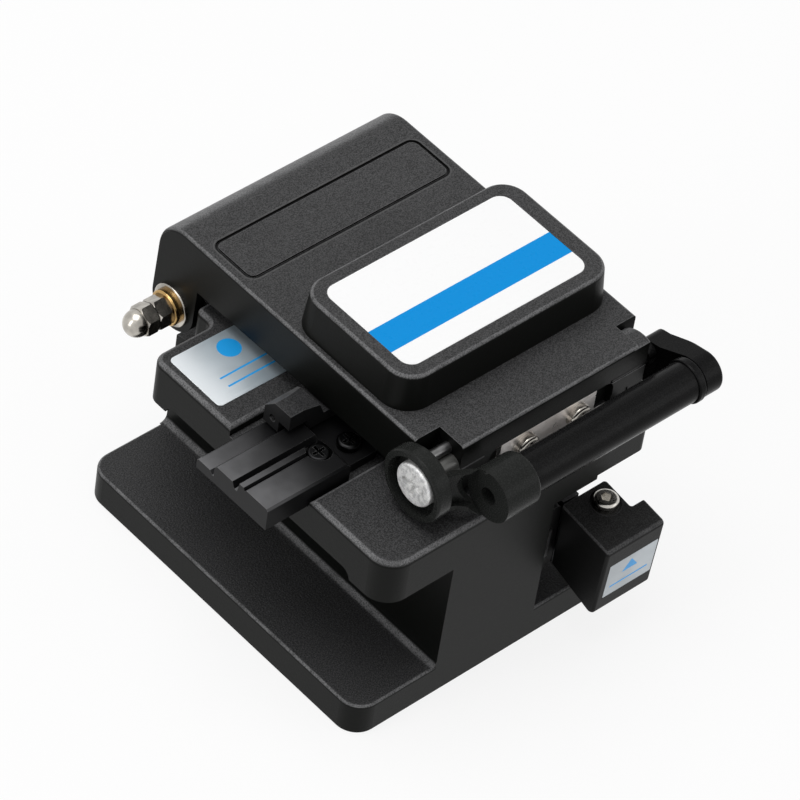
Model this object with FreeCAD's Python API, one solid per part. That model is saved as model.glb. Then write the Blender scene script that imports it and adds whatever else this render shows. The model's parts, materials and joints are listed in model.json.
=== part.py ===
"""Fibre cleaver: bench tool that scores and breaks an optical fibre.

Millimetres, +Z up, -Y the operator's side, +X along the fibre.
Origin: centre of the base on the plane its rubber mat stands on.
"""
import FreeCAD
import Part
import math
import os

V = FreeCAD.Vector
X_AXIS = V(1, 0, 0)
Y_AXIS = V(0, 1, 0)
Z_AXIS = V(0, 0, 1)

# ---- clearances -------------------------------------------------------
RUN_GAP = 0.05           # radial clearance of a running fit
SIDE_GAP = 0.3           # gap between faces that slide past each other

# ---- screws -----------------------------------------------------------
M2_R = 1.0               # thread outer radius
M25_R = 1.25
M3_R = 1.5
SCREW_DEPTH = 4.0        # tapped depth
TAP_SPARE = 0.2          # the hole goes this much deeper than its screw

# ---- base -------------------------------------------------------------
BASE_W = 62.0
BASE_D = 75.0
BASE_CORNER_R = 4.5
BASE_TOP = 7.2
BASE_EDGE_R = 0.7
MAT_STANDS_OUT = 0.2     # the casting starts this far above the bench
MAT_T = 1.2
MAT_INSET = 2.5
MAT_CORNER_R = 2.5
MAT_EDGE_R = 0.3
FOOT_COVE_R = 1.6        # hollow fillet where the tower stands on the base

# ---- tower and deck ---------------------------------------------------
TOWER_LEFT = -12.1
TOWER_RIGHT = 12.0
DECK_LEFT = -28.8
DECK_RIGHT = 34.3
DECK_TOP = 43.1
DECK_REAR = 31.3
WING_REAR = 26.6
WING_RIGHT = -14.6
SKIRT_LOW = 33.2
ARCH_LOW = 35.0
ARCH_FRONT = -28.5
ARCH_REAR = 21.5
CEILING = 35.0
OVERHANG_LOW = 36.0
OVERHANG_STEP_X = 22.4
DECK_EDGE_R = 1.3
GUIDE_FLOOR = 41.0
GUIDE_BAY_FRONT = -16.3
GUIDE_BAY_REAR = 4.9
GUIDE_BAY_RIGHT = -10.0

# ---- hinge ------------------------------------------------------------
HINGE_Y = 37.7
HINGE_Z = 38.5
HINGE_PIN_R = 1.5
LUG_R = 5.0
LUG_SPANS = ((-11.7, -4.0), (28.5, 36.7))
BUSH_R = 2.4
BUSH_FLANGE_R = 3.6
BUSH_FLANGE_T = 1.4
WASHER_R = 4.4
WASHER_T = 0.7
NUT_FLATS = 5.5
NUT_T = 3.0
ACORN_SKIRT_T = 2.7
ACORN_GAP = 0.15
DOME_R = 2.65
DOME_OUT = 0.5           # the dome's centre stands this far past the hexagon
PIN_HEAD_R = 2.9
PIN_HEAD_T = 2.0

# ---- fibre line and clamps --------------------------------------------
FIBRE_Y = -8.4
FIBRE_Z = 46.0
CLAMP_SPANS = ((4.6, 11.6), (22.6, 29.6))
SEAT_FRONT = -20.2
SEAT_REAR = 3.4
SEAT_T = 1.5
PAD_INSET_X = 0.3
PAD_FRONT = -16.4
PAD_REAR = -0.4
PAD_GAP = 0.15           # the closed lid stops this far above the lower pads
UPPER_PAD_T = 1.4
UPPER_BAR_TOP = 51.2
SEAT_SCREW_INSET = 1.9

# ---- fibre guide ------------------------------------------------------
GUIDE_LEFT = -38.4
GUIDE_RIGHT = -19.0
GUIDE_FRONT = -15.9
GUIDE_TOP = 46.2
GUIDE_STEP_Y = -7.2
GUIDE_STEP_DROP = 0.9
GUIDE_WALL_Y = -1.8
FLANGE_REAR = 2.7
FLANGE_TOP = 43.2
TONGUE_RIGHT = -10.6
GUIDE_SCREW_Y = -10.2
GUIDE_SCREW_X = (-21.6, -14.3)
GUIDE_SCREW_SUNK = 1.9

# ---- press arm over the guide ------------------------------------------
ARM_SCREW_X = -8.2
ARM_SCREW_Y = -0.6
ARM_HALF_W = 3.3
ARM_LOW = 43.9
ARM_TOP = 46.3
ARM_NOSE_LOW = 46.5      # over the guide's land
ARM_NOSE_TOP = 49.9
ARM_NOSE_OUT = 4.2       # the nose reaches this far over the guide
ARM_LEG_FRONT = -1.2     # behind this the nose reaches down to the guide's flange
ARM_HOLE = (0.5, 46.1)

# ---- rail, carriage and wheel -----------------------------------------
SLOT_LEFT = 13.6
SLOT_RIGHT = 21.0
SLOT_FRONT = -33.3
SLOT_REAR = 17.5
RAIL_T = 5.0
RAIL_Z = 18.5
RAIL_W = 7.0
RAIL_FRONT = -34.0
RAIL_REAR = 30.0
RAIL_SCREW_Y = (-27.0, -11.0, 5.0, 21.0)
BLOCK_X = (13.7, 20.0)
BLOCK_HALF_H = 8.0
BLOCK_Y = (-33.0, -10.0)
BLOCK_CAP_T = 2.4
WHEEL_Y = -24.0
WHEEL_R = 8.0
WHEEL_Z = 37.9
WHEEL_X = (16.6, 17.8)
ARBOR_R = 2.0
PLATE_RIGHT = 23.8
UPRIGHT_R = 5.0

# ---- push knob --------------------------------------------------------
KNOB_LEFT = 18.1
KNOB_RIGHT = 32.4
KNOB_FRONT = -47.0
KNOB_REAR = -34.3
KNOB_TOP = 26.1
KNOB_TOP_REAR = 27.9
KNOB_LOW_FRONT = 8.6
KNOB_LOW_REAR = 12.6
KNOB_WALL = 2.0
KNOB_SHOULDER_X = 28.9
KNOB_SHOULDER_Y = -41.3
KNOB_LEAN = 0.9          # the front face leans back this much at its foot
FOIL_X = (19.7, 31.8)    # shallow seat for the foil on the knob's front
FOIL_Z = (12.8, 21.7)
FOIL_SUNK = 0.12
TONGUE_X = (20.4, 28.4)
TONGUE_Z = (13.2, 19.2)
KNOB_SCREW_X = 25.6
KNOB_SCREW_Y = -38.0
KNOB_SEAT_R = 3.0
KNOB_SEAT_Z = 26.8
KNOB_SCREW_HEAD_R = 2.4

# ---- lid --------------------------------------------------------------
LID_LEFT = -14.0
LID_RIGHT = 39.3
LID_FRONT = -31.5
LID_REAR = 43.3
LID_TOP = 56.9
LID_LOW_FRONT = 47.4
LID_LOW_REAR = 46.0
LID_WALL = 1.9
LID_ROOF = 2.2
LID_REAR_R = 7.0
LID_EDGE_R = 0.8
EAR_R = 5.6
NOTCH_LEFT_X = -8.3
NOTCH_RIGHT_X = 34.2
NOTCH_REAR = -25.3
HOUSE_X = (-12.0, 38.1)
HOUSE_Y = (-19.7, 9.2)
HOUSE_TOP = 64.8
HOUSE_R = 5.0
HOUSE_DRAFT = 0.8
LABEL_X = (-9.2, 34.4)      # shallow seat for the printed film
LABEL_Y = (-16.9, 6.5)
LABEL_R = 2.6
LABEL_SUNK = 0.15
PANEL_X = (-11.9, 37.0)
PANEL_Y = (20.9, 32.1)
PANEL_GROOVE_W = 0.6
PANEL_GROOVE_DEPTH = 0.35
BEAM_REAR = -25.9
BEAM_LOW = 45.0
WHEEL_SLOT_GAP = 0.6
WINDOW_X = (-1.0, 29.2)
WINDOW_TOP = 51.3
PLATE_X = (2.5, 25.6)
PLATE_FRONT = -30.9
PLATE_T = 1.0
PLATE_Z = (44.8, 51.1)
PLATE_SCREW_X = (8.6, 21.2)
PLATE_SCREW_Z = 47.0

# ---- lever ------------------------------------------------------------
LEVER_Y = -29.5
LEVER_Z = 51.3
BAR_Y = -39.2
BAR_Z = 51.45
BAR_R = 4.0
BOSS_R = 5.2
HUB_R = 7.2
HUB_X = (-18.0, -14.4)
HUB_CUP_R = 5.9
HUB_CUP_DEPTH = 2.6
HUB_EDGE_R = 0.5
RIGHT_LUG_R = 5.5        # half-round lug in the lid's right notch, bored for the lever's stub
RIGHT_LUG_END = 37.2
RIGHT_END_R = 2.3        # the right arm narrows to this round the pivot
RIGHT_ARM_END_R = 4.15   # and to this round the bar
RIGHT_ARM_T = 4.2
COLLAR_R = 4.4
COLLAR_X = (38.9, 40.5)
WEB_RIM = 1.2            # rim left round the left arm's sunk web
WEB_SUNK = 0.75
BAR_LEFT = -8.6
BAR_RIGHT = 45.0
BAR_HOLE_R = 1.75
PIVOT_R = 2.0
PIVOT_HEAD_R = 4.35
PIVOT_HEAD_T = 1.9
PIVOT_SUNK = 6.0
STOP_PIN_R = 1.1
STOP_PIN_Y = -27.9
STOP_PIN_Z = 54.1
STOP_PIN_SUNK = 4.0

# ---- anvil ------------------------------------------------------------
ANVIL_X = 17.2
ANVIL_STEM_R = 2.0
ANVIL_HEAD_Z = (47.8, 49.3)


# ======================================================================
# helpers
# ======================================================================
def box(x, y, z):
    """Box from three (low, high) pairs."""
    return Part.makeBox(x[1] - x[0], y[1] - y[0], z[1] - z[0], V(x[0], y[0], z[0]))


def rod_x(r, x, y, z):
    return Part.makeCylinder(r, x[1] - x[0], V(x[0], y, z), X_AXIS)


def rod_y(r, x, y, z):
    return Part.makeCylinder(r, y[1] - y[0], V(x, y[0], z), Y_AXIS)


def rod_z(r, x, y, z):
    return Part.makeCylinder(r, z[1] - z[0], V(x, y, z[0]), Z_AXIS)


def rounded_wire(points, radii, place):
    """Closed wire through 2D points, each corner rounded by its radius."""
    count = len(points)
    edges = []
    ends = []
    for i, (px, py) in enumerate(points):
        ax, ay = points[i - 1]
        bx, by = points[(i + 1) % count]
        r = radii[i] if isinstance(radii, (list, tuple)) else radii
        ua = V(ax - px, ay - py, 0).normalize()
        ub = V(bx - px, by - py, 0).normalize()
        if r <= 0:
            ends.append((V(px, py, 0), V(px, py, 0), None))
            continue
        half = 0.5 * math.acos(max(-1.0, min(1.0, ua.dot(ub))))
        cut = r / math.tan(half)
        centre = V(px, py, 0) + (ua + ub).normalize() * (r / math.sin(half))
        mid = centre + (V(px, py, 0) - centre).normalize() * r
        ends.append((V(px, py, 0) + ua * cut, V(px, py, 0) + ub * cut, mid))
    for i, (start, stop, mid) in enumerate(ends):
        if mid is not None:
            edges.append(Part.Arc(place(start), place(mid), place(stop)).toShape())
        nxt = ends[(i + 1) % count][0]
        if (nxt - stop).Length > 1e-6:
            edges.append(Part.makeLine(place(stop), place(nxt)))
    return Part.Wire(Part.__sortEdges__(edges))


def prism_z(points, radii, z):
    """Upright prism over an XY outline."""
    wire = rounded_wire(points, radii, lambda p: V(p.x, p.y, z[0]))
    return Part.Face(wire).extrude(V(0, 0, z[1] - z[0]))


def prism_x(points, radii, x):
    """Prism along X over a YZ outline."""
    wire = rounded_wire(points, radii, lambda p: V(x[0], p.x, p.y))
    return Part.Face(wire).extrude(V(x[1] - x[0], 0, 0))


def prism_y(points, radii, y):
    """Prism along Y over an XZ outline."""
    wire = rounded_wire(points, radii, lambda p: V(p.x, y[0], p.y))
    return Part.Face(wire).extrude(V(0, y[1] - y[0], 0))


def plate_z(x, y, z, r):
    points = [(x[0], y[0]), (x[1], y[0]), (x[1], y[1]), (x[0], y[1])]
    return prism_z(points, r, z)


def hull_x(c1, r1, c2, r2, x):
    """Prism along X over the outline that wraps two circles in the YZ plane."""
    dy = c2[0] - c1[0]
    dz = c2[1] - c1[1]
    dist = math.hypot(dy, dz)
    base = math.atan2(dz, dy)
    spread = math.acos((r1 - r2) / dist)

    def at(c, r, a):
        return V(x[0], c[0] + r * math.cos(a), c[1] + r * math.sin(a))

    up = base + spread
    down = base - spread
    edges = [
        Part.makeLine(at(c1, r1, up), at(c2, r2, up)),
        Part.Arc(at(c2, r2, up), at(c2, r2, base), at(c2, r2, down)).toShape(),
        Part.makeLine(at(c2, r2, down), at(c1, r1, down)),
        Part.Arc(at(c1, r1, down), at(c1, r1, base + math.pi), at(c1, r1, up)).toShape(),
    ]
    return Part.Face(Part.Wire(edges)).extrude(V(x[1] - x[0], 0, 0))


def edges_where(shape, test):
    """Edges whose middle point and box pass the test."""
    found = []
    for edge in shape.Edges:
        b = edge.BoundBox
        if test(b):
            found.append(edge)
    return found


def fillet_top(shape, z, r, keep=None):
    """Rounds the edges that lie at height z."""
    def at_top(b):
        level = abs(b.ZMin - z) < 1e-4 and abs(b.ZMax - z) < 1e-4
        return level and (keep is None or keep(b))
    return shape.makeFillet(r, edges_where(shape, at_top))


def fuse(parts):
    return parts[0].multiFuse(parts[1:]).removeSplitter()


def hexagon(across_flats, x, y, z):
    """Hexagonal prism along X."""
    r = across_flats / math.sqrt(3)
    pts = []
    for k in range(6):
        a = math.radians(60 * k + 30)
        pts.append((y + r * math.cos(a), z + r * math.sin(a)))
    return prism_x(pts, 0, x)


def hex_nut(across_flats, bore_r, x, y, z):
    """Nut along X with both rims chamfered."""
    body = hexagon(across_flats, x, y, z)
    r = across_flats / math.sqrt(3)
    length = x[1] - x[0]
    rim = 0.35
    cone = Part.makeCone(r - rim, r + length, length + rim, V(x[0], y, z), X_AXIS)
    back = Part.makeCone(r - rim, r + length, length + rim, V(x[1], y, z), X_AXIS * -1)
    return body.common(cone).common(back).cut(rod_x(bore_r, (x[0] - 1, x[1] + 1), y, z))


def oriented(shape, base, axis):
    """Moves a shape built along +Z from the origin onto a base and axis."""
    turn = FreeCAD.Rotation(Z_AXIS, axis)
    moved = shape.copy()
    moved.Placement = FreeCAD.Placement(base, turn)
    return moved


def pan_screw(head_r, head_h, shank_r, length, base, axis, slot):
    """Pan head screw: the head's underside sits at base, the head points along axis."""
    head = Part.makeCylinder(head_r, head_h)
    rim = [e for e in head.Edges if abs(e.BoundBox.ZMin - head_h) < 1e-4]
    head = head.makeFillet(min(0.45 * head_h, 0.6), rim[:1])
    w = head_r * 0.24
    reach = head_r * 0.62
    depth = head_h * 0.5
    cross = Part.makeBox(2 * reach, w, depth, V(-reach, -w / 2, head_h - depth))
    if slot == "cross":
        other = Part.makeBox(w, 2 * reach, depth, V(-w / 2, -reach, head_h - depth))
        cross = cross.fuse(other)
    if slot == "hex":
        pts = [V(reach * 0.75 * math.cos(math.radians(60 * k)),
                 reach * 0.75 * math.sin(math.radians(60 * k)), head_h - depth) for k in range(6)]
        cross = Part.Face(Part.makePolygon(pts + pts[:1])).extrude(V(0, 0, depth))
    shank = Part.makeCylinder(shank_r, length, V(0, 0, -length))
    return oriented(head.cut(cross).fuse(shank), base, axis)


def flat_screw(head_r, head_h, shank_r, length, base, axis):
    """Countersunk screw whose flat head ends at base."""
    head = Part.makeCone(shank_r, head_r, head_h, V(0, 0, -head_h))
    reach = head_r * 0.6
    w = head_r * 0.22
    slot = Part.makeBox(2 * reach, w, head_h * 0.4, V(-reach, -w / 2, -head_h * 0.4))
    shank = Part.makeCylinder(shank_r, length, V(0, 0, -length))
    return oriented(head.cut(slot).fuse(shank), base, axis)


# ======================================================================
# body casting
# ======================================================================
def seat_screw_points():
    for span in CLAMP_SPANS:
        mid = 0.5 * (span[0] + span[1])
        for y in (SEAT_FRONT + SEAT_SCREW_INSET, SEAT_REAR - SEAT_SCREW_INSET):
            yield mid, y


def mat_plate(z):
    half_w = BASE_W / 2 - MAT_INSET
    half_d = BASE_D / 2 - MAT_INSET
    return plate_z((-half_w, half_w), (-half_d, half_d), z, MAT_CORNER_R)


def build_base():
    half_w = BASE_W / 2
    half_d = BASE_D / 2
    plate = plate_z((-half_w, half_w), (-half_d, half_d), (MAT_STANDS_OUT, BASE_TOP), BASE_CORNER_R)
    plate = fillet_top(plate, BASE_TOP, BASE_EDGE_R)
    return plate.cut(mat_plate((0.0, MAT_T)))


def build_deck():
    left = DECK_LEFT
    front = -BASE_D / 2
    outline = [(left, front), (DECK_RIGHT, front), (DECK_RIGHT, DECK_REAR),
               (WING_RIGHT, DECK_REAR), (WING_RIGHT, WING_REAR), (left, WING_REAR)]
    radii = [5.0, 1.6, 2.5, 1.5, 1.5, 2.6]
    slab = prism_z(outline, radii, (SKIRT_LOW, DECK_TOP))
    bay = prism_z([(left - 5, GUIDE_BAY_FRONT), (GUIDE_BAY_RIGHT, GUIDE_BAY_FRONT),
                   (GUIDE_BAY_RIGHT, GUIDE_BAY_REAR), (left - 5, GUIDE_BAY_REAR)],
                  [0, 1.5, 1.5, 0], (GUIDE_FLOOR, DECK_TOP + 1))
    slab = slab.cut(bay)
    slab = fillet_top(slab, DECK_TOP, DECK_EDGE_R)
    arch = prism_x([(ARCH_FRONT - 6, SKIRT_LOW - 4), (ARCH_FRONT - 1.2, SKIRT_LOW - 4),
                    (ARCH_FRONT + 0.6, ARCH_LOW), (ARCH_REAR - 0.6, ARCH_LOW),
                    (ARCH_REAR + 1.2, SKIRT_LOW - 4), (ARCH_REAR + 6, SKIRT_LOW - 4),
                    (ARCH_REAR + 6, SKIRT_LOW - 8), (ARCH_FRONT - 6, SKIRT_LOW - 8)],
                   [0, 0, 2.2, 2.2, 0, 0, 0, 0], (left - 1, TOWER_LEFT))
    slab = slab.cut(arch)
    channel = box((TOWER_RIGHT, OVERHANG_STEP_X), (front - 1, DECK_REAR + 1), (SKIRT_LOW - 1, CEILING))
    overhang = box((OVERHANG_STEP_X, DECK_RIGHT + 1), (front - 1, DECK_REAR + 1),
                   (SKIRT_LOW - 1, OVERHANG_LOW))
    slab = slab.cut(channel).cut(overhang)
    slot = plate_z((SLOT_LEFT, SLOT_RIGHT), (SLOT_FRONT, SLOT_REAR), (CEILING - 1, DECK_TOP + 1), 1.5)
    return slab.cut(slot)


def build_tower():
    half_d = BASE_D / 2
    tower = box((TOWER_LEFT, TOWER_RIGHT), (-half_d, half_d), (BASE_TOP - 1, SKIRT_LOW + 1))
    rear_low = prism_x([(DECK_REAR - 8, SKIRT_LOW + 0.5), (half_d, SKIRT_LOW - 3.5),
                        (half_d + 6, SKIRT_LOW - 3.5), (half_d + 6, SKIRT_LOW + 3),
                        (DECK_REAR - 8, SKIRT_LOW + 3)], 0, (TOWER_LEFT - 1, TOWER_RIGHT + 1))
    tower = tower.cut(rear_low)
    cove_left = TOWER_LEFT - FOOT_COVE_R
    cove = box((cove_left, TOWER_LEFT + 0.5), (-half_d, half_d), (BASE_TOP - 0.01, BASE_TOP + FOOT_COVE_R))
    hollow = rod_y(FOOT_COVE_R, cove_left, (-half_d - 1, half_d + 1), BASE_TOP + FOOT_COVE_R)
    return tower.fuse(cove.cut(hollow))


def build_hinge_lugs():
    lugs = []
    for span in LUG_SPANS:
        lug = hull_x((DECK_REAR - 3.0, HINGE_Z + 0.2), 3.6, (HINGE_Y, HINGE_Z), LUG_R, span)
        lugs.append(lug)
    return lugs


def build_body():
    body = fuse([build_base(), build_tower(), build_deck()] + build_hinge_lugs())
    body = body.cut(rod_x(HINGE_PIN_R + RUN_GAP, (DECK_LEFT, DECK_RIGHT + 20), HINGE_Y, HINGE_Z))
    holes = []
    for x in GUIDE_SCREW_X:
        holes.append(rod_z(M25_R, x, GUIDE_SCREW_Y, (GUIDE_FLOOR - SCREW_DEPTH, GUIDE_FLOOR + 1)))
    for x, y in seat_screw_points():
        holes.append(rod_z(M2_R, x, y, (DECK_TOP - SCREW_DEPTH, DECK_TOP + 1)))
    for y in RAIL_SCREW_Y:
        holes.append(rod_x(M2_R, (TOWER_RIGHT - SCREW_DEPTH, TOWER_RIGHT + 1), y, RAIL_Z))
    return body.cut(Part.makeCompound(holes))


def build_base_mat():
    mat = mat_plate((0.0, MAT_T))
    rim = edges_where(mat, lambda b: b.ZMax < 1e-4)
    return mat.makeFillet(MAT_EDGE_R, rim)


# ======================================================================
# fibre guide and lower clamps
# ======================================================================
def build_fibre_guide():
    top = GUIDE_TOP
    low = GUIDE_FLOOR
    step = GUIDE_TOP - GUIDE_STEP_DROP
    profile = [(GUIDE_FRONT, low), (FLANGE_REAR, low), (FLANGE_REAR, FLANGE_TOP - 0.4),
               (FLANGE_REAR - 0.4, FLANGE_TOP), (GUIDE_WALL_Y + 1.0, FLANGE_TOP),
               (GUIDE_WALL_Y + 0.4, FLANGE_TOP - 0.7), (GUIDE_WALL_Y, FLANGE_TOP - 0.7),
               (GUIDE_WALL_Y, step - 0.6), (GUIDE_WALL_Y - 0.6, step),
               (GUIDE_STEP_Y + 0.7, step), (GUIDE_STEP_Y, step - 1.3),
               (GUIDE_STEP_Y - 0.7, step - 1.3), (GUIDE_STEP_Y - 1.1, top),
               (GUIDE_STEP_Y - 2.2, top), (GUIDE_STEP_Y - 2.5, top - 0.7),
               (GUIDE_STEP_Y - 2.9, top - 0.2), (GUIDE_FRONT + 0.4, top - 0.2),
               (GUIDE_FRONT, top - 0.6)]
    guide = prism_x(profile, 0, (GUIDE_LEFT, GUIDE_RIGHT))
    tongue = plate_z((GUIDE_RIGHT - 1, TONGUE_RIGHT), (-14.2, -3.0), (low, FLANGE_TOP - 0.2), 1.0)
    end_cut = prism_y([(GUIDE_RIGHT - 2.2, top + 1), (GUIDE_RIGHT + 1, top + 1),
                       (GUIDE_RIGHT + 1, top - 2.0)], 0, (GUIDE_FRONT - 1, FLANGE_REAR + 1))
    guide = guide.cut(end_cut).fuse(tongue).removeSplitter()
    first, second = GUIDE_SCREW_X
    sink = rod_z(2.5, first, GUIDE_SCREW_Y, (top - GUIDE_SCREW_SUNK, top + 1))
    bore_a = rod_z(M25_R, first, GUIDE_SCREW_Y, (low - 1, top))
    bore_b = rod_z(M25_R, second, GUIDE_SCREW_Y, (low - 1, top))
    return guide.cut(sink).cut(bore_a).cut(bore_b)


def build_guide_screws():
    first, second = GUIDE_SCREW_X
    sunk_z = GUIDE_TOP - GUIDE_SCREW_SUNK
    tongue_z = FLANGE_TOP - 0.2
    deep = SCREW_DEPTH - TAP_SPARE
    one = pan_screw(2.2, 1.5, M25_R, sunk_z - GUIDE_FLOOR + deep, V(first, GUIDE_SCREW_Y, sunk_z),
                    Z_AXIS, "cross")
    two = pan_screw(2.2, 1.5, M25_R, tongue_z - GUIDE_FLOOR + deep,
                    V(second, GUIDE_SCREW_Y, tongue_z), Z_AXIS, "cross")
    return Part.makeCompound([one, two])


def build_clamp_seat(span):
    seat = plate_z(span, (SEAT_FRONT, SEAT_REAR), (DECK_TOP, DECK_TOP + SEAT_T), 1.0)
    mid = 0.5 * (span[0] + span[1])
    for y in (SEAT_FRONT + SEAT_SCREW_INSET, SEAT_REAR - SEAT_SCREW_INSET):
        sink = Part.makeCone(M2_R, 1.7, 0.9, V(mid, y, DECK_TOP + SEAT_T - 0.9))
        seat = seat.cut(sink).cut(rod_z(M2_R, mid, y, (DECK_TOP - 1, DECK_TOP + SEAT_T)))
    return seat


def build_lower_pad(span):
    x = (span[0] + PAD_INSET_X, span[1] - PAD_INSET_X)
    pad = plate_z(x, (PAD_FRONT, PAD_REAR), (DECK_TOP + SEAT_T, FIBRE_Z), 0.6)
    return fillet_top(pad, FIBRE_Z, 0.3)


def build_seat_screws():
    top = DECK_TOP + SEAT_T
    screws = []
    for x, y in seat_screw_points():
        screws.append(flat_screw(1.7, 0.9, M2_R, SEAT_T + SCREW_DEPTH - TAP_SPARE, V(x, y, top), Z_AXIS))
    return Part.makeCompound(screws)


# ======================================================================
# rail, carriage, wheel, knob
# ======================================================================
def rail_profile(grow):
    """XZ section of the rail, a waisted bar on the tower's wall, grown by a clearance."""
    w = RAIL_W / 2 + grow
    x0 = TOWER_RIGHT
    x1 = TOWER_RIGHT + RAIL_T + grow
    waist = 0.7
    return [(x0, RAIL_Z - w), (x0 + 1.6, RAIL_Z - w), (x0 + 2.4, RAIL_Z - w + waist),
            (x0 + 3.2, RAIL_Z - w + waist), (x0 + 4.0, RAIL_Z - w), (x1, RAIL_Z - w),
            (x1, RAIL_Z + w), (x0 + 4.0, RAIL_Z + w), (x0 + 3.2, RAIL_Z + w - waist),
            (x0 + 2.4, RAIL_Z + w - waist), (x0 + 1.6, RAIL_Z + w), (x0, RAIL_Z + w)]


def build_rail():
    rail = prism_y(rail_profile(0.0), 0, (RAIL_FRONT, RAIL_REAR))
    face = TOWER_RIGHT + RAIL_T
    for y in RAIL_SCREW_Y:
        rail = rail.cut(rod_x(2.0, (face - 2.4, face + 1), y, RAIL_Z))
        rail = rail.cut(rod_x(M2_R, (TOWER_RIGHT - 1, face), y, RAIL_Z))
    return rail


def build_rail_screws():
    face = TOWER_RIGHT + RAIL_T
    screws = []
    for y in RAIL_SCREW_Y:
        seat = V(face - 2.4, y, RAIL_Z)
        reach = RAIL_T - 2.4 + SCREW_DEPTH - TAP_SPARE
        screws.append(pan_screw(1.9, 2.0, M2_R, reach, seat, X_AXIS, "hex"))
    return Part.makeCompound(screws)


def block_screw_points():
    mid_y = 0.5 * (BLOCK_Y[0] + BLOCK_Y[1])
    return [(mid_y + sy * 5.5, RAIL_Z + sz * 5.8) for sy in (-1, 1) for sz in (-1, 1)]


def rail_tunnel():
    return prism_y(rail_profile(RUN_GAP), 0, (BLOCK_Y[0] - 1, BLOCK_Y[1] + 1))


def build_rail_block():
    y = (BLOCK_Y[0] + BLOCK_CAP_T, BLOCK_Y[1] - BLOCK_CAP_T)
    z = (RAIL_Z - BLOCK_HALF_H, RAIL_Z + BLOCK_HALF_H)
    block = prism_y([(BLOCK_X[0], z[0]), (BLOCK_X[1], z[0]), (BLOCK_X[1], z[1]), (BLOCK_X[0], z[1])],
                    0.8, y)
    block = block.cut(rail_tunnel())
    for py, pz in block_screw_points():
        block = block.cut(rod_x(M2_R, (BLOCK_X[1] - 3.2, BLOCK_X[1] + 1), py, pz))
    return block


def build_block_caps():
    caps = []
    z = (RAIL_Z - BLOCK_HALF_H + 0.3, RAIL_Z + BLOCK_HALF_H - 0.3)
    x = (BLOCK_X[0] + 0.3, BLOCK_X[1] - 0.3)
    outline = [(x[0], z[0]), (x[1], z[0]), (x[1], z[1]), (x[0], z[1])]
    for y in ((BLOCK_Y[0], BLOCK_Y[0] + BLOCK_CAP_T), (BLOCK_Y[1] - BLOCK_CAP_T, BLOCK_Y[1])):
        caps.append(prism_y(outline, 1.2, y).cut(rail_tunnel()))
    return Part.makeCompound(caps)


def build_carriage():
    z = (RAIL_Z - BLOCK_HALF_H, RAIL_Z + BLOCK_HALF_H)
    plate = prism_y([(BLOCK_X[1], z[0]), (PLATE_RIGHT, z[0]), (PLATE_RIGHT, z[1]), (BLOCK_X[1], z[1])],
                    [0, 1.0, 0, 0], BLOCK_Y)
    tongue = prism_z([(TONGUE_X[0], KNOB_SCREW_Y - 3.2), (TONGUE_X[1], KNOB_SCREW_Y - 3.2),
                      (TONGUE_X[1], BLOCK_Y[0] + 2.5), (PLATE_RIGHT, BLOCK_Y[0] + 6.5),
                      (TONGUE_X[0], BLOCK_Y[0] + 6.5)], [1.0, 1.0, 1.5, 0, 0], TONGUE_Z)
    upright_x = (WHEEL_X[1] + 0.2, WHEEL_X[1] + 2.2)
    wheel_low = WHEEL_Z - WHEEL_R
    shelf = box((upright_x[0], PLATE_RIGHT), (WHEEL_Y - 6.0, WHEEL_Y + 6.0), (z[1], wheel_low - 0.5))
    gusset = prism_y([(upright_x[1], wheel_low - 0.6), (PLATE_RIGHT, wheel_low - 0.6),
                      (upright_x[1], CEILING - 1.2)], 0, (WHEEL_Y - 1.2, WHEEL_Y + 1.2))
    upright = hull_x((WHEEL_Y, wheel_low), 6.0, (WHEEL_Y, WHEEL_Z), UPRIGHT_R, upright_x)
    upright = upright.cut(box((0, 40), (WHEEL_Y - 20, WHEEL_Y + 20), (0, z[1])))
    carriage = fuse([plate, tongue, shelf, gusset, upright])
    carriage = carriage.cut(rod_x(M3_R, (0, 40), WHEEL_Y, WHEEL_Z))
    for py, pz in block_screw_points():
        carriage = carriage.cut(rod_x(M2_R, (BLOCK_X[1] - 1, PLATE_RIGHT + 1), py, pz))
        carriage = carriage.cut(rod_x(2.0, (PLATE_RIGHT - 2.0, PLATE_RIGHT + 1), py, pz))
    bore = rod_z(M25_R, KNOB_SCREW_X, KNOB_SCREW_Y, (TONGUE_Z[0] + 1, TONGUE_Z[1] + 1))
    return carriage.cut(bore)


def build_carriage_screws():
    screws = []
    for py, pz in block_screw_points():
        seat = V(PLATE_RIGHT - 2.0, py, pz)
        reach = PLATE_RIGHT - 2.0 - BLOCK_X[1] + 3.0
        screws.append(pan_screw(1.9, 1.9, M2_R, reach, seat, X_AXIS, "hex"))
    return Part.makeCompound(screws)


def build_blade_wheel():
    edge = 0.45
    pts = [V(WHEEL_X[0], 0, ARBOR_R + RUN_GAP), V(WHEEL_X[0], 0, WHEEL_R - 0.9),
           V(WHEEL_X[0] + edge, 0, WHEEL_R), V(WHEEL_X[1] - edge, 0, WHEEL_R),
           V(WHEEL_X[1], 0, WHEEL_R - 0.9), V(WHEEL_X[1], 0, ARBOR_R + RUN_GAP)]
    face = Part.Face(Part.makePolygon(pts + pts[:1]))
    wheel = face.revolve(V(0, 0, 0), X_AXIS, 360)
    wheel.translate(V(0, WHEEL_Y, WHEEL_Z))
    count = 16
    marks = []
    for k in range(count):
        a = 2 * math.pi * k / count
        y = WHEEL_Y + 6.0 * math.cos(a)
        z = WHEEL_Z + 6.0 * math.sin(a)
        marks.append(rod_x(0.3, (WHEEL_X[0] - 1, WHEEL_X[0] + 0.15), y, z))
    return wheel.cut(Part.makeCompound(marks))


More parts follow.
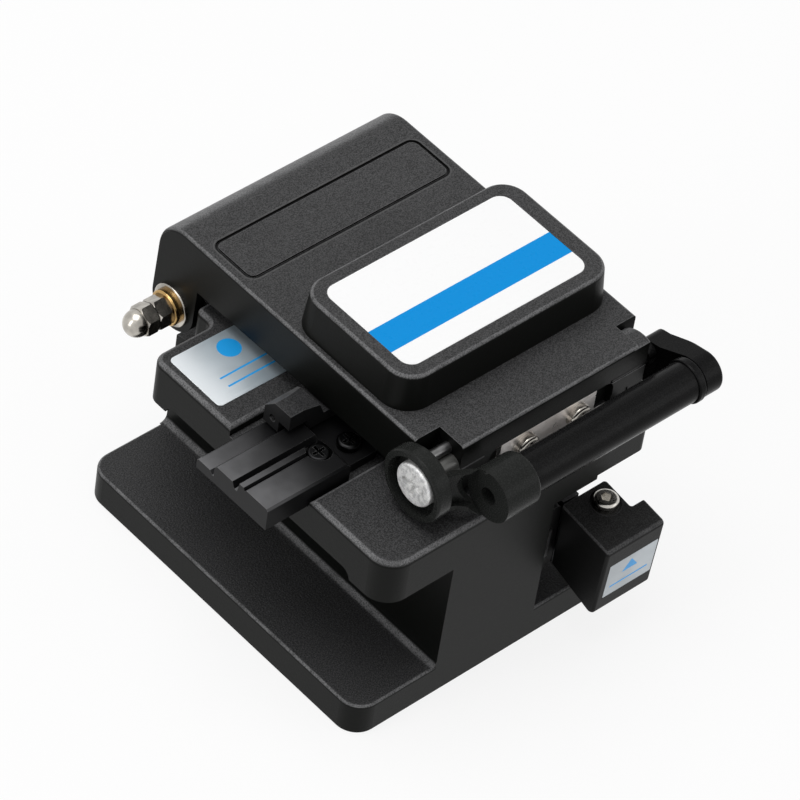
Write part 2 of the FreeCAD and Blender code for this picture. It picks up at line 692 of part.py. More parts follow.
def build_blade_arbor():
    head = rod_x(3.6, (WHEEL_X[0] - 1.5, WHEEL_X[0] - 0.15), WHEEL_Y, WHEEL_Z)
    head = head.makeFillet(0.4, edges_where(head, lambda b: b.XMax < WHEEL_X[0] - 1.0))
    slot = box((WHEEL_X[0] - 2, WHEEL_X[0] - 1.0), (WHEEL_Y - 2.8, WHEEL_Y + 2.8),
               (WHEEL_Z - 0.35, WHEEL_Z + 0.35))
    journal = rod_x(ARBOR_R, (WHEEL_X[0] - 0.2, WHEEL_X[1] + 0.2), WHEEL_Y, WHEEL_Z)
    thread = rod_x(M3_R, (WHEEL_X[1] + 0.1, WHEEL_X[1] + 2.2), WHEEL_Y, WHEEL_Z)
    return fuse([head.cut(slot), journal, thread])


def knob_front_at(z):
    return KNOB_FRONT + KNOB_LEAN * (KNOB_TOP - z) / (KNOB_TOP - KNOB_LOW_FRONT)


def build_push_knob():
    side = [(KNOB_FRONT + KNOB_LEAN, KNOB_LOW_FRONT), (KNOB_REAR, KNOB_LOW_REAR), (KNOB_REAR, KNOB_TOP_REAR),
            (KNOB_FRONT, KNOB_TOP)]
    block = prism_x(side, [1.2, 0, 0, 1.0], (KNOB_LEFT, KNOB_RIGHT))
    corner = box((KNOB_SHOULDER_X, KNOB_RIGHT + 1), (KNOB_SHOULDER_Y, KNOB_REAR + 1), (0, KNOB_TOP_REAR + 1))
    block = block.cut(corner)
    uprights = edges_where(block, lambda b: b.ZLength > 8 and b.XLength < 1e-4 and b.YLength < 3)
    block = block.makeFillet(0.6, uprights)
    cavity = box((KNOB_LEFT + KNOB_WALL, TONGUE_X[1] + 0.2), (KNOB_SCREW_Y - 3.4, KNOB_REAR + 1),
                 (0, TONGUE_Z[1]))
    hollow = box((KNOB_LEFT + KNOB_WALL, KNOB_RIGHT - KNOB_WALL),
                 (KNOB_FRONT + KNOB_WALL + 0.6, KNOB_SHOULDER_Y - KNOB_WALL), (0, TONGUE_Z[1]))
    block = block.cut(cavity).cut(hollow)
    bore = rod_z(M25_R, KNOB_SCREW_X, KNOB_SCREW_Y, (TONGUE_Z[1] - 1, KNOB_TOP_REAR + 1))
    seat = rod_z(KNOB_SEAT_R, KNOB_SCREW_X, KNOB_SCREW_Y, (KNOB_SEAT_Z, KNOB_TOP_REAR + 1))
    foot, head = [(knob_front_at(z) + FOIL_SUNK, z) for z in FOIL_Z]
    foil = prism_x([foot, head, (KNOB_FRONT - 1, head[1]), (KNOB_FRONT - 1, foot[1])], 0, FOIL_X)
    return block.cut(bore).cut(seat).cut(foil)


def build_knob_screw():
    reach = KNOB_SEAT_Z - TONGUE_Z[0] - 1.3
    seat = V(KNOB_SCREW_X, KNOB_SCREW_Y, KNOB_SEAT_Z)
    return pan_screw(KNOB_SCREW_HEAD_R, 2.0, M25_R, reach, seat, Z_AXIS, "hex")


# ======================================================================
# lid
# ======================================================================
def lid_low_at(y):
    t = (y - LID_FRONT) / (LID_REAR - LID_FRONT)
    return LID_LOW_FRONT + (LID_LOW_REAR - LID_LOW_FRONT) * t


def lid_side(inset, roof, extra):
    """YZ outline of the lid, grown inwards by inset, with the roof at its own height."""
    front = LID_FRONT + inset
    rear = LID_REAR - inset
    radius = max(LID_REAR_R - inset, 0.8)
    pts = [(front, lid_low_at(front) - extra), (rear, lid_low_at(rear) - extra), (rear, roof), (front, roof)]
    return pts, [0, 0, radius, LID_EDGE_R if inset == 0 else 0]


def house_loft(x, y, r, z, draft):
    """Drafted rounded block that narrows towards its top."""
    def wire(grow, level):
        pts = [(x[0] - grow, y[0] - grow), (x[1] + grow, y[0] - grow),
               (x[1] + grow, y[1] + grow), (x[0] - grow, y[1] + grow)]
        return rounded_wire(pts, r + grow, lambda p: V(p.x, p.y, level))
    return Part.makeLoft([wire(draft, z[0]), wire(0.0, z[1])], True, True)


def build_lid_shell():
    pts, radii = lid_side(0.0, LID_TOP, 0.0)
    outer = prism_x(pts, radii, (LID_LEFT, LID_RIGHT))
    long_sides = edges_where(outer, lambda b: abs(b.ZMin - LID_TOP) < 1e-4 and b.YLength > 30)
    outer = outer.makeFillet(LID_EDGE_R, long_sides)
    house = house_loft(HOUSE_X, HOUSE_Y, HOUSE_R, (LID_TOP - 0.5, HOUSE_TOP), HOUSE_DRAFT)
    house = fillet_top(house, HOUSE_TOP, 0.9)
    house = house.cut(plate_z(LABEL_X, LABEL_Y, (HOUSE_TOP - LABEL_SUNK, HOUSE_TOP + 1), LABEL_R))
    inner_pts, inner_radii = lid_side(LID_WALL, LID_TOP - LID_ROOF, 3.0)
    cavity = prism_x(inner_pts, inner_radii, (LID_LEFT + LID_WALL, LID_RIGHT - LID_WALL))
    inner_house = house_loft((HOUSE_X[0] + LID_WALL, HOUSE_X[1] - LID_WALL),
                             (HOUSE_Y[0] + LID_WALL, HOUSE_Y[1] - LID_WALL), HOUSE_R - 1.5,
                             (LID_TOP - LID_ROOF - 0.5, HOUSE_TOP - LID_ROOF), HOUSE_DRAFT)
    return outer.fuse(house).removeSplitter().cut(cavity).cut(inner_house)


def build_ears():
    ears = []
    for x in ((LID_LEFT, LID_LEFT + LID_WALL), (LID_RIGHT - LID_WALL, LID_RIGHT)):
        ear = hull_x((HINGE_Y, HINGE_Z), EAR_R, (HINGE_Y - 0.4, LID_LOW_REAR + 4.0), EAR_R - 0.01, x)
        ears.append(ear)
    return ears


def build_front_beam():
    x = (NOTCH_LEFT_X, NOTCH_RIGHT_X)
    beam = box(x, (LID_FRONT + 0.2, BEAM_REAR), (BEAM_LOW, LID_TOP - 1.0))
    window = prism_y([(WINDOW_X[0], BEAM_LOW - 6), (WINDOW_X[1], BEAM_LOW - 6),
                      (WINDOW_X[1], WINDOW_TOP), (WINDOW_X[0], WINDOW_TOP)],
                     [0, 0, 2.0, 2.0], (LID_FRONT - 1, PLATE_FRONT + PLATE_T))
    return beam, window


def wheel_relief():
    """Slot in the beam's underside that the wheel's rim passes through."""
    x = (WHEEL_X[0] - WHEEL_SLOT_GAP, WHEEL_X[1] + WHEEL_SLOT_GAP)
    return box(x, (LID_FRONT - 1, BEAM_REAR + 1), (BEAM_LOW - 1, WHEEL_Z + WHEEL_R + WHEEL_SLOT_GAP))


def build_clamp_posts():
    posts = []
    for span in CLAMP_SPANS:
        posts.append(box((span[0] + 0.5, span[1] - 0.5), (PAD_FRONT - 2.0, PAD_REAR + 2.0),
                         (UPPER_BAR_TOP, HOUSE_TOP - LID_ROOF + 0.5)))
    return posts


def build_lid():
    shell = build_lid_shell()
    beam, window = build_front_beam()
    anvil_boss = rod_z(4.2, ANVIL_X, FIBRE_Y, (53.0, HOUSE_TOP - LID_ROOF + 0.5))
    arm_boss = plate_z((LID_LEFT + 0.5, ARM_SCREW_X + 3.2), (ARM_SCREW_Y - 3.4, ARM_SCREW_Y + 3.4),
                       (ARM_TOP, LID_TOP - 1.0), 0.8)
    arm_boss = arm_boss.cut(box((LID_LEFT - 1, LID_LEFT + LID_WALL), (-10, 10), (0, lid_low_at(-4.0))))
    lid = fuse([shell, beam] + build_ears() + build_clamp_posts() + [anvil_boss, arm_boss])
    notch_l = box((LID_LEFT - 1, NOTCH_LEFT_X), (LID_FRONT - 1, NOTCH_REAR), (0, LID_TOP + 1))
    notch_r = box((NOTCH_RIGHT_X, LID_RIGHT + 1), (LID_FRONT - 1, NOTCH_REAR), (0, LID_TOP + 1))
    back_l = box((LID_LEFT, NOTCH_LEFT_X), (NOTCH_REAR, NOTCH_REAR + LID_WALL), (48.0, LID_TOP - 1))
    back_r = box((NOTCH_RIGHT_X, LID_RIGHT), (NOTCH_REAR, NOTCH_REAR + LID_WALL), (48.0, LID_TOP - 1))
    lid = lid.cut(window).cut(wheel_relief()).cut(notch_l).cut(notch_r)
    lid = fuse([lid, back_l, back_r])
    lug = rod_x(RIGHT_LUG_R, (NOTCH_RIGHT_X - 1, RIGHT_LUG_END), LEVER_Y, LEVER_Z)
    lug = lug.cut(box((NOTCH_RIGHT_X - 2, RIGHT_LUG_END + 1), (LEVER_Y - 10, LID_FRONT), (40, 60)))
    lug = lug.makeFillet(0.4, edges_where(lug, lambda b: b.XMin > RIGHT_LUG_END - 0.01))
    lid = fuse([lid, lug])
    groove_out = plate_z(PANEL_X, PANEL_Y, (LID_TOP - PANEL_GROOVE_DEPTH, LID_TOP + 1), 2.0)
    inner_x = (PANEL_X[0] + PANEL_GROOVE_W, PANEL_X[1] - PANEL_GROOVE_W)
    inner_y = (PANEL_Y[0] + PANEL_GROOVE_W, PANEL_Y[1] - PANEL_GROOVE_W)
    groove_in = plate_z(inner_x, inner_y, (LID_TOP - 1, LID_TOP + 2), 1.4)
    lid = lid.cut(groove_out.cut(groove_in))
    holes = []
    holes.append(rod_x(BUSH_R, (LID_LEFT - 1, LID_RIGHT + 1), HINGE_Y, HINGE_Z))
    holes.append(rod_x(PIVOT_R, (NOTCH_LEFT_X - 5, NOTCH_LEFT_X + PIVOT_SUNK), LEVER_Y, LEVER_Z))
    holes.append(rod_x(PIVOT_R + RUN_GAP, (NOTCH_RIGHT_X - PIVOT_SUNK, LID_RIGHT), LEVER_Y, LEVER_Z))
    holes.append(rod_x(STOP_PIN_R, (NOTCH_LEFT_X - 5, NOTCH_LEFT_X + STOP_PIN_SUNK), STOP_PIN_Y, STOP_PIN_Z))
    for x in PLATE_SCREW_X:
        holes.append(rod_y(M2_R, x, (PLATE_FRONT - 1, PLATE_FRONT + PLATE_T + 2.8), PLATE_SCREW_Z))
    for span in CLAMP_SPANS:
        mid = 0.5 * (span[0] + span[1])
        for y in bar_screw_ys():
            holes.append(rod_z(M2_R, mid, y, (UPPER_BAR_TOP - 1, UPPER_BAR_TOP + 4)))
    holes.append(rod_z(ANVIL_STEM_R + RUN_GAP, ANVIL_X, FIBRE_Y, (48, HOUSE_TOP - LID_ROOF - 0.6)))
    holes.append(rod_z(M2_R, ARM_SCREW_X, ARM_SCREW_Y, (ARM_TOP - 1, ARM_TOP + 4)))
    return lid.cut(Part.makeCompound(holes))


def bar_screw_ys():
    return (PAD_FRONT - 0.4, PAD_REAR + 0.4)


def build_hinge_bushes():
    washer, flange, nut = hinge_stack()
    left = rod_x(BUSH_R, (washer, LID_LEFT + LID_WALL), HINGE_Y, HINGE_Z)
    collar = rod_x(BUSH_FLANGE_R, (flange, washer), HINGE_Y, HINGE_Z)
    left = left.fuse(collar.makeFillet(0.4, edges_where(collar, lambda b: b.XMax < flange + 0.1)))
    right = rod_x(BUSH_R, (LID_RIGHT - LID_WALL, LID_RIGHT), HINGE_Y, HINGE_Z)
    right = right.fuse(rod_x(BUSH_FLANGE_R, (LID_RIGHT, LID_RIGHT + BUSH_FLANGE_T), HINGE_Y, HINGE_Z))
    bore = rod_x(HINGE_PIN_R, (LID_LEFT - 5, LID_RIGHT + 5), HINGE_Y, HINGE_Z)
    return Part.makeCompound([left.cut(bore), right.cut(bore)])


def hinge_stack():
    """X of the outer faces of the washer, the bush's flange and the nut, left of the ear."""
    washer = LID_LEFT - WASHER_T
    flange = washer - BUSH_FLANGE_T
    nut = flange - NUT_T
    return washer, flange, nut


def build_hinge_pin():
    nut = hinge_stack()[2]
    right = LID_RIGHT + BUSH_FLANGE_T
    pin = rod_x(HINGE_PIN_R, (nut - 2.0, right + 0.1), HINGE_Y, HINGE_Z)
    head = rod_x(PIN_HEAD_R, (right, right + PIN_HEAD_T), HINGE_Y, HINGE_Z)
    rim = edges_where(head, lambda b: b.XMin > right + 0.9 * PIN_HEAD_T)
    head = head.makeFillet(0.7, rim)
    slot = box((right + 1.0, right + 3), (HINGE_Y - 2.2, HINGE_Y + 2.2), (HINGE_Z - 0.4, HINGE_Z + 0.4))
    return pin.fuse(head.cut(slot)).removeSplitter()


def build_hinge_washer():
    washer = hinge_stack()[0]
    ring = rod_x(WASHER_R, (washer, LID_LEFT), HINGE_Y, HINGE_Z)
    ring = ring.makeFillet(0.25, edges_where(ring, lambda b: b.XMax < washer + 0.1))
    return ring.cut(rod_x(BUSH_R, (washer - 1, LID_LEFT + 1), HINGE_Y, HINGE_Z))


def build_hinge_nut():
    washer, flange, nut = hinge_stack()
    return hex_nut(NUT_FLATS, HINGE_PIN_R, (nut, flange), HINGE_Y, HINGE_Z)


def build_acorn_nut():
    nut = hinge_stack()[2] - ACORN_GAP
    end = nut - ACORN_SKIRT_T
    skirt = hex_nut(NUT_FLATS, 0.5, (end, nut), HINGE_Y, HINGE_Z)
    ball = Part.makeSphere(DOME_R, V(end - DOME_OUT, HINGE_Y, HINGE_Z))
    neck = rod_x(DOME_R, (end - DOME_OUT, nut - 1.0), HINGE_Y, HINGE_Z)
    solid = fuse([skirt, ball, neck])
    return solid.cut(rod_x(HINGE_PIN_R, (nut - 1.95, nut + 1), HINGE_Y, HINGE_Z))


def build_upper_bar(span):
    low = FIBRE_Z + PAD_GAP + UPPER_PAD_T
    bar = plate_z(span, (PAD_FRONT - 2.2, PAD_REAR + 2.2), (low, UPPER_BAR_TOP), 1.0)
    mid = 0.5 * (span[0] + span[1])
    for y in bar_screw_ys():
        bar = bar.cut(rod_z(M2_R, mid, y, (low - 1, UPPER_BAR_TOP + 1)))
        bar = bar.cut(rod_z(2.0, mid, y, (low - 1, low + 1.6)))
    return bar


def build_upper_pad(span):
    low = FIBRE_Z + PAD_GAP
    x = (span[0] + PAD_INSET_X, span[1] - PAD_INSET_X)
    pad = plate_z(x, (PAD_FRONT + 1.8, PAD_REAR - 1.8), (low, low + UPPER_PAD_T), 0.6)
    rim = edges_where(pad, lambda b: b.ZMax < low + 1e-4)
    return pad.makeFillet(0.3, rim)


def build_bar_screws():
    low = FIBRE_Z + PAD_GAP + UPPER_PAD_T
    screws = []
    for span in CLAMP_SPANS:
        mid = 0.5 * (span[0] + span[1])
        for y in bar_screw_ys():
            seat = V(mid, y, low + 1.6)
            screws.append(pan_screw(1.9, 1.4, M2_R, UPPER_BAR_TOP - low - 1.6 + 3.8, seat, V(0, 0, -1),
                                    "cross"))
    return Part.makeCompound(screws)


def build_window_plate():
    z = PLATE_Z
    plate = prism_y([(PLATE_X[0], z[0]), (PLATE_X[1], z[0]), (PLATE_X[1], z[1]), (PLATE_X[0], z[1])],
                    0.5, (PLATE_FRONT, PLATE_FRONT + PLATE_T))
    for x in PLATE_SCREW_X:
        plate = plate.cut(rod_y(M2_R, x, (PLATE_FRONT - 1, PLATE_FRONT + 2), PLATE_SCREW_Z))
    return plate


def build_plate_screws():
    screws = []
    for x in PLATE_SCREW_X:
        seat = V(x, PLATE_FRONT, PLATE_SCREW_Z)
        screws.append(pan_screw(2.5, 1.5, M2_R, PLATE_T + 2.6, seat, V(0, -1, 0), "cross"))
    return Part.makeCompound(screws)


def build_press_arm():
    y = (ARM_SCREW_Y - ARM_HALF_W, ARM_SCREW_Y + ARM_HALF_W)
    nose = GUIDE_RIGHT - ARM_NOSE_OUT
    tail = ARM_SCREW_X + 3.0
    reach = [(nose, ARM_LOW), (tail, ARM_LOW), (tail, ARM_TOP), (LID_LEFT - 1.0, ARM_TOP),
             (LID_LEFT - 2.2, ARM_NOSE_TOP - 1.0), (nose + 3.0, ARM_NOSE_TOP), (nose, ARM_NOSE_TOP)]
    arm = prism_y(reach, 0, y)
    over_land = box((nose - 1, GUIDE_RIGHT + 0.4), (y[0] - 1, ARM_LEG_FRONT), (ARM_LOW - 1, ARM_NOSE_LOW))
    lean_back = prism_x([(y[1] + 0.6, 47.0), (y[1] - 2.9, 50.4), (y[1] + 0.6, 50.4)], 0, (nose - 1, 0))
    arm = arm.cut(over_land).cut(lean_back)
    sunk = rod_z(2.1, ARM_SCREW_X, ARM_SCREW_Y, (40, 45.3))
    hole = rod_z(M2_R, ARM_SCREW_X, ARM_SCREW_Y, (40, ARM_TOP + 1))
    dimple = rod_x(0.75, (nose - 1, nose + 2.0), *ARM_HOLE)
    return arm.cut(sunk).cut(hole).cut(dimple)


def build_press_pad():
    x = (GUIDE_RIGHT - ARM_NOSE_OUT + 0.3, GUIDE_RIGHT - 0.2)
    y = (ARM_SCREW_Y - ARM_HALF_W + 0.3, ARM_LEG_FRONT - 0.4)
    return plate_z(x, y, (ARM_NOSE_LOW - 0.4, ARM_NOSE_LOW), 0.4)


def build_arm_screw():
    return pan_screw(1.9, 1.2, M2_R, 4.6, V(ARM_SCREW_X, ARM_SCREW_Y, 45.3), V(0, 0, -1), "cross")


# ======================================================================
# lever and anvil
# ======================================================================
def build_left_arm():
    """Cranked arm from the hub outside the lid to the bar in front of it, with a sunk web."""
    pivot = (LEVER_Y, LEVER_Z)
    far = (BAR_Y, BAR_Z)
    back = HUB_X[0] + 1.2
    outer = [(back, -32.4), (-11.6, -34.9), (-9.9, -36.6), (BAR_LEFT - 0.3, -38.8)]
    plan = [(back, LEVER_Y + 6), (HUB_X[1], LEVER_Y + 6), (HUB_X[1], -32.0), (-11.5, -32.4), (-8.7, -35.4),
            (-8.4, -36.2), (-5.2, -36.9), (-5.2, -45.5), (BAR_LEFT - 0.3, -45.5)] + outer[::-1]
    arm = hull_x(pivot, HUB_R - 1.4, far, BOSS_R - 0.1, (HUB_X[0], -4.0))
    arm = arm.common(prism_z(plan, 0, (30, 70)))
    crest = [(-24.0, 50.3), (-38.0, BAR_Z + BOSS_R - 0.2), (-38.0, 70.0), (-24.0, 70.0)]
    arm = arm.cut(prism_x(crest, 0, (HUB_X[0] - 1, -4)))
    floor = [(x + WEB_SUNK, y + WEB_SUNK) for x, y in outer]
    front = [(floor[-1][0], -46.0), (HUB_X[0] - 1, -46.0), (HUB_X[0] - 1, floor[0][1])]
    web = hull_x(pivot, HUB_R - 1.4 - WEB_RIM, far, BOSS_R - 0.1 - WEB_RIM, (HUB_X[0] - 1, -4.0))
    web = web.common(prism_z(floor + front, 0, (30, 70)))
    web = web.cut(prism_x([(y, z - WEB_RIM) for y, z in crest], 0, (HUB_X[0] - 2, -3)))
    face = rod_x(BOSS_R, (HUB_X[0] - 1, BAR_LEFT), BAR_Y, BAR_Z)
    return arm.cut(web.cut(rod_x(BOSS_R, (HUB_X[0] - 2, -3), BAR_Y, BAR_Z))).cut(face)


def build_right_arm():
    """Slim arm from the boss in the lid's notch to the bar's end, leaning outwards a little."""
    top = BAR_RIGHT
    near = top - 1.5
    plan = [(near - RIGHT_ARM_T, -25.0), (near, -25.0), (near, LEVER_Y - 1), (top, -36.5), (top, -45.0),
            (top - RIGHT_ARM_T, -45.0), (top - RIGHT_ARM_T, -37.0), (near - RIGHT_ARM_T, LEVER_Y - 2.5)]
    arm = hull_x((LEVER_Y, LEVER_Z), RIGHT_END_R, (BAR_Y, BAR_Z), RIGHT_ARM_END_R, (38.0, top))
    rim = edges_where(arm, lambda b: b.XMin > top - 0.01)
    return arm.makeFillet(0.7, rim).common(prism_z(plan, 0, (30, 70)))


def build_lever():
    bar = rod_x(BAR_R, (BAR_LEFT + 2, BAR_RIGHT - 2), BAR_Y, BAR_Z)
    boss_l = rod_x(BOSS_R, (BAR_LEFT, -0.4), BAR_Y, BAR_Z)
    boss_l = boss_l.makeFillet(0.8, edges_where(boss_l, lambda b: b.XMin > -0.5))
    collar = rod_x(COLLAR_R, COLLAR_X, BAR_Y, BAR_Z)
    collar = collar.makeFillet(0.35, edges_where(collar, lambda b: b.XLength < 0.01))
    hub = rod_x(HUB_R, HUB_X, LEVER_Y, LEVER_Z)
    hub = hub.makeFillet(HUB_EDGE_R, edges_where(hub, lambda b: b.XMax < HUB_X[0] + 0.1))
    arm_inside = BAR_RIGHT - 1.5 - RIGHT_ARM_T + 1
    stub = rod_x(PIVOT_R, (NOTCH_RIGHT_X - PIVOT_SUNK + TAP_SPARE, arm_inside), LEVER_Y, LEVER_Z)
    stub = stub.makeChamfer(0.3, edges_where(stub, lambda b: b.XMax < NOTCH_RIGHT_X))
    neck = rod_x(RIGHT_END_R, (RIGHT_LUG_END + SIDE_GAP, arm_inside), LEVER_Y, LEVER_Z)
    lever = fuse([bar, boss_l, collar, hub, stub, neck, build_left_arm(), build_right_arm()])
    cup = rod_x(HUB_CUP_R, (HUB_X[0] - 1, HUB_X[0] + HUB_CUP_DEPTH), LEVER_Y, LEVER_Z)
    bore = rod_x(PIVOT_R + RUN_GAP, (HUB_X[0] - 1, HUB_X[1] + 1), LEVER_Y, LEVER_Z)
    boss_hole = rod_x(BAR_HOLE_R, (BAR_LEFT - 1, BAR_LEFT + 4.0), BAR_Y, BAR_Z)
    return lever.cut(cup).cut(bore).cut(boss_hole).cut(stop_slot_cut())


def stop_slot_cut():
    """Room on the hub's inner face for the stop pin over the lever's whole swing."""
    ring = rod_x(HUB_R + 1, (HUB_X[1] - 0.6, HUB_X[1] + 0.2), LEVER_Y, LEVER_Z)
    return ring.cut(rod_x(HUB_R - 0.6, (HUB_X[1] - 2, HUB_X[1] + 2), LEVER_Y, LEVER_Z))


def build_pivot_screws():
    left_seat = V(HUB_X[0] + HUB_CUP_DEPTH - SIDE_GAP, LEVER_Y, LEVER_Z)
    reach = NOTCH_LEFT_X - left_seat.x + PIVOT_SUNK - TAP_SPARE
    left = pan_screw(PIVOT_HEAD_R, PIVOT_HEAD_T, PIVOT_R, reach, left_seat, V(-1, 0, 0), "cross")
    return left


def build_stop_pin():
    pin = rod_x(STOP_PIN_R, (HUB_X[1] + SIDE_GAP, NOTCH_LEFT_X + STOP_PIN_SUNK - TAP_SPARE),
                STOP_PIN_Y, STOP_PIN_Z)
    return pin.makeChamfer(0.25, edges_where(pin, lambda b: b.XMax < HUB_X[1] + 0.5))


def build_anvil():
    stem = rod_z(ANVIL_STEM_R, ANVIL_X, FIBRE_Y, (ANVIL_HEAD_Z[0] + 0.5, HOUSE_TOP - LID_ROOF - 3.0))
    foot = plate_z((ANVIL_X - 3.4, ANVIL_X + 3.4), (FIBRE_Y - 6.0, FIBRE_Y + 6.0), ANVIL_HEAD_Z, 0.8)
    return fuse([stem, foot])


def build_anvil_pad():
    low = ANVIL_HEAD_Z[0]
    return plate_z((ANVIL_X - 2.8, ANVIL_X + 2.8), (FIBRE_Y - 5.4, FIBRE_Y + 5.4), (low - 1.0, low), 0.6)


# ======================================================================
# files
# ======================================================================
PIECES = {
    "main_body": build_body,
    "rubber_base_mat": build_base_mat,
    "fibre_guide": build_fibre_guide,
    "guide_screws": build_guide_screws,
    "clamp_seat_left": lambda: build_clamp_seat(CLAMP_SPANS[0]),
    "clamp_seat_right": lambda: build_clamp_seat(CLAMP_SPANS[1]),
    "lower_pad_left": lambda: build_lower_pad(CLAMP_SPANS[0]),
    "lower_pad_right": lambda: build_lower_pad(CLAMP_SPANS[1]),
    "clamp_seat_screws": build_seat_screws,
    "slide_rail": build_rail,
    "slide_rail_screws": build_rail_screws,
    "rail_block": build_rail_block,
    "rail_block_caps": build_block_caps,
    "blade_carriage": build_carriage,
    "carriage_screws": build_carriage_screws,
    "blade_wheel": build_blade_wheel,
    "blade_arbor": build_blade_arbor,
    "push_knob": build_push_knob,
    "push_knob_screw": build_knob_screw,
    "lid": build_lid,
    "hinge_bushes": build_hinge_bushes,
    "hinge_pin": build_hinge_pin,
    "hinge_washer": build_hinge_washer,
    "hinge_nut": build_hinge_nut,
    "acorn_nut": build_acorn_nut,
    "upper_bar_left": lambda: build_upper_bar(CLAMP_SPANS[0]),
    "upper_bar_right": lambda: build_upper_bar(CLAMP_SPANS[1]),
    "upper_pad_left": lambda: build_upper_pad(CLAMP_SPANS[0]),
    "upper_pad_right": lambda: build_upper_pad(CLAMP_SPANS[1]),
    "upper_bar_screws": build_bar_screws,
    "window_plate": build_window_plate,
    "window_plate_screws": build_plate_screws,
    "press_arm": build_press_arm,
    "press_arm_pad": build_press_pad,
    "press_arm_screw": build_arm_screw,
    "lever": build_lever,
    "lever_pivot_screws": build_pivot_screws,
    "lever_stop_pin": build_stop_pin,
    "anvil": build_anvil,
    "anvil_pad": build_anvil_pad,
}

os.makedirs("parts", exist_ok=True)
for name, build in PIECES.items():
    shape = build()
    if not shape.isValid():
        print("not valid:", name)
    shape.exportStep("parts/" + name + ".step")
    b = shape.BoundBox
    print(f"{name:22s} solids {len(shape.Solids)}  volume {shape.Volume:10.2f}  "
          f"x {b.XMin:7.2f} {b.XMax:7.2f}  y {b.YMin:7.2f} {b.YMax:7.2f}  z {b.ZMin:6.2f} {b.ZMax:6.2f}")
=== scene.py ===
"""Looks of the bench fibre cleaver: finishes, labels, one arm web, floor, light and camera."""
import bmesh
import bpy
import json
import math
from mathutils import Matrix, Vector

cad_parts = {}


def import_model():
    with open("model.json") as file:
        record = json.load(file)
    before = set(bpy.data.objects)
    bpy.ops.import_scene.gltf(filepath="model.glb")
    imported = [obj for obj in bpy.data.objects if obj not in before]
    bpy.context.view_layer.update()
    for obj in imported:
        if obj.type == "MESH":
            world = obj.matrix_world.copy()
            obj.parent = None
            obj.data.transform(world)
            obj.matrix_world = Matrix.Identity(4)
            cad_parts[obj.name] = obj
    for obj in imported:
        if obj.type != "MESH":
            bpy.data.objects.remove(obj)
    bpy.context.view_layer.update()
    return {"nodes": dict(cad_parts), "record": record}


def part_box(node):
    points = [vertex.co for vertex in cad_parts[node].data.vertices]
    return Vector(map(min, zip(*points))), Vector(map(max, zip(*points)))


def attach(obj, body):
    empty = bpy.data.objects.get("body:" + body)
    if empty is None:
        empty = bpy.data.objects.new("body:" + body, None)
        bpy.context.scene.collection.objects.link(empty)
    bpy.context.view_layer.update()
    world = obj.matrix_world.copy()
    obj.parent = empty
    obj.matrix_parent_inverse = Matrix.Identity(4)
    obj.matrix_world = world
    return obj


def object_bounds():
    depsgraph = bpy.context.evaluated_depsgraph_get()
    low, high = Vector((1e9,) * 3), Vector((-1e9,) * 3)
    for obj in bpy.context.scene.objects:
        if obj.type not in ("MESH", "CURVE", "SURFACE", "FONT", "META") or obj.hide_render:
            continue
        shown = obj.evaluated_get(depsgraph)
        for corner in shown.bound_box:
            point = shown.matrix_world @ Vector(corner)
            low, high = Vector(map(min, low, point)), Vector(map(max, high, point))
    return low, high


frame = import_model()
NODES = frame["nodes"]
MM = 0.001

# Places and sizes in millimetres, in the CAD frame.
PANEL = ((12.55, 26.5), (24.45, 5.6), 2.0)      # moulded frame on the lid: centre, half size, corner radius
BOSS_END_X = -0.4                               # the lever is rough cast to the left of this, and smooth beyond it
GUIDE_SHEEN_X = (-38.6, -23.0)                   # the fibre guide's top carries a painted sheen, full at the first and none at the second
PIVOT_SHANK_X = -15.6                           # the pivot screw's head ends and its shank starts
FILM_ORIGIN = (-9.15, -16.85)
FILM_SIZE = (43.5, 23.3)
FILM_CORNER = 2.55
FILM_THICK = 0.12
FILM_SEAT = 0.145                               # the film's underside lies this far below the lid's top
FILM_STRIPE_Y = (-12.1, -6.0)
WING_ORIGIN = (-27.1, 9.9)
WING_SIZE = (18.6, 14.2)
WING_CORNER = 1.0
WING_SKEW = 0.012
WING_GLARE_X = (-27.5, -15.0)                   # the foil is palest at the first and plain at the second
WING_DOT = (-16.1, 20.1, 2.3)                   # centre and radius
WING_RULES_Y = ((14.9, 15.3), (12.6, 13.0))
WING_RULES_X = (-22.5, -9.8)
KNOB_FRONT_Y = -47.0                            # the knob's front at its top
KNOB_TOP_Z = 26.1
KNOB_FOOT_Z = 8.6
KNOB_LEAN = 0.9                                 # how far the front falls back from its top to its foot
KNOB_FOIL_ORIGIN = (19.75, 12.85)               # X and Z
KNOB_FOIL_SIZE = (12.0, 8.78)
KNOB_FOIL_CORNER = 0.3
KNOB_FOIL_SEAT = 0.115
ARROW_TIP_Z = 20.4
ARROW_SLOPE = 0.72                              # half width over height
ARROW_X = 25.4
ARROW_Z = (17.7, 21.0)
KNOB_RULE_Z = (15.0, 15.45)
KNOB_RULE_X = (21.0, 30.4)
# The arm web's sections: its inner face's X, then Y, lowest Z and highest Z.
WEB_SECTIONS = (
    (39.34, -27.6, 46.0, 51.0), (39.34, -28.3, 44.4, 52.4), (39.34, -29.5, 43.5, 53.0), (39.34, -32.0, 43.4, 53.4),
    (40.09, -34.5, 44.8, 53.9), (40.84, -37.0, 47.2, 54.4), (40.84, -38.5, 48.6, 54.6),
)
WEB_OUTER_X = 42.7
WEB_ROUND = 0.35
WEB_SHARP = 0.6                                 # radians; edges that turn less stay as they are

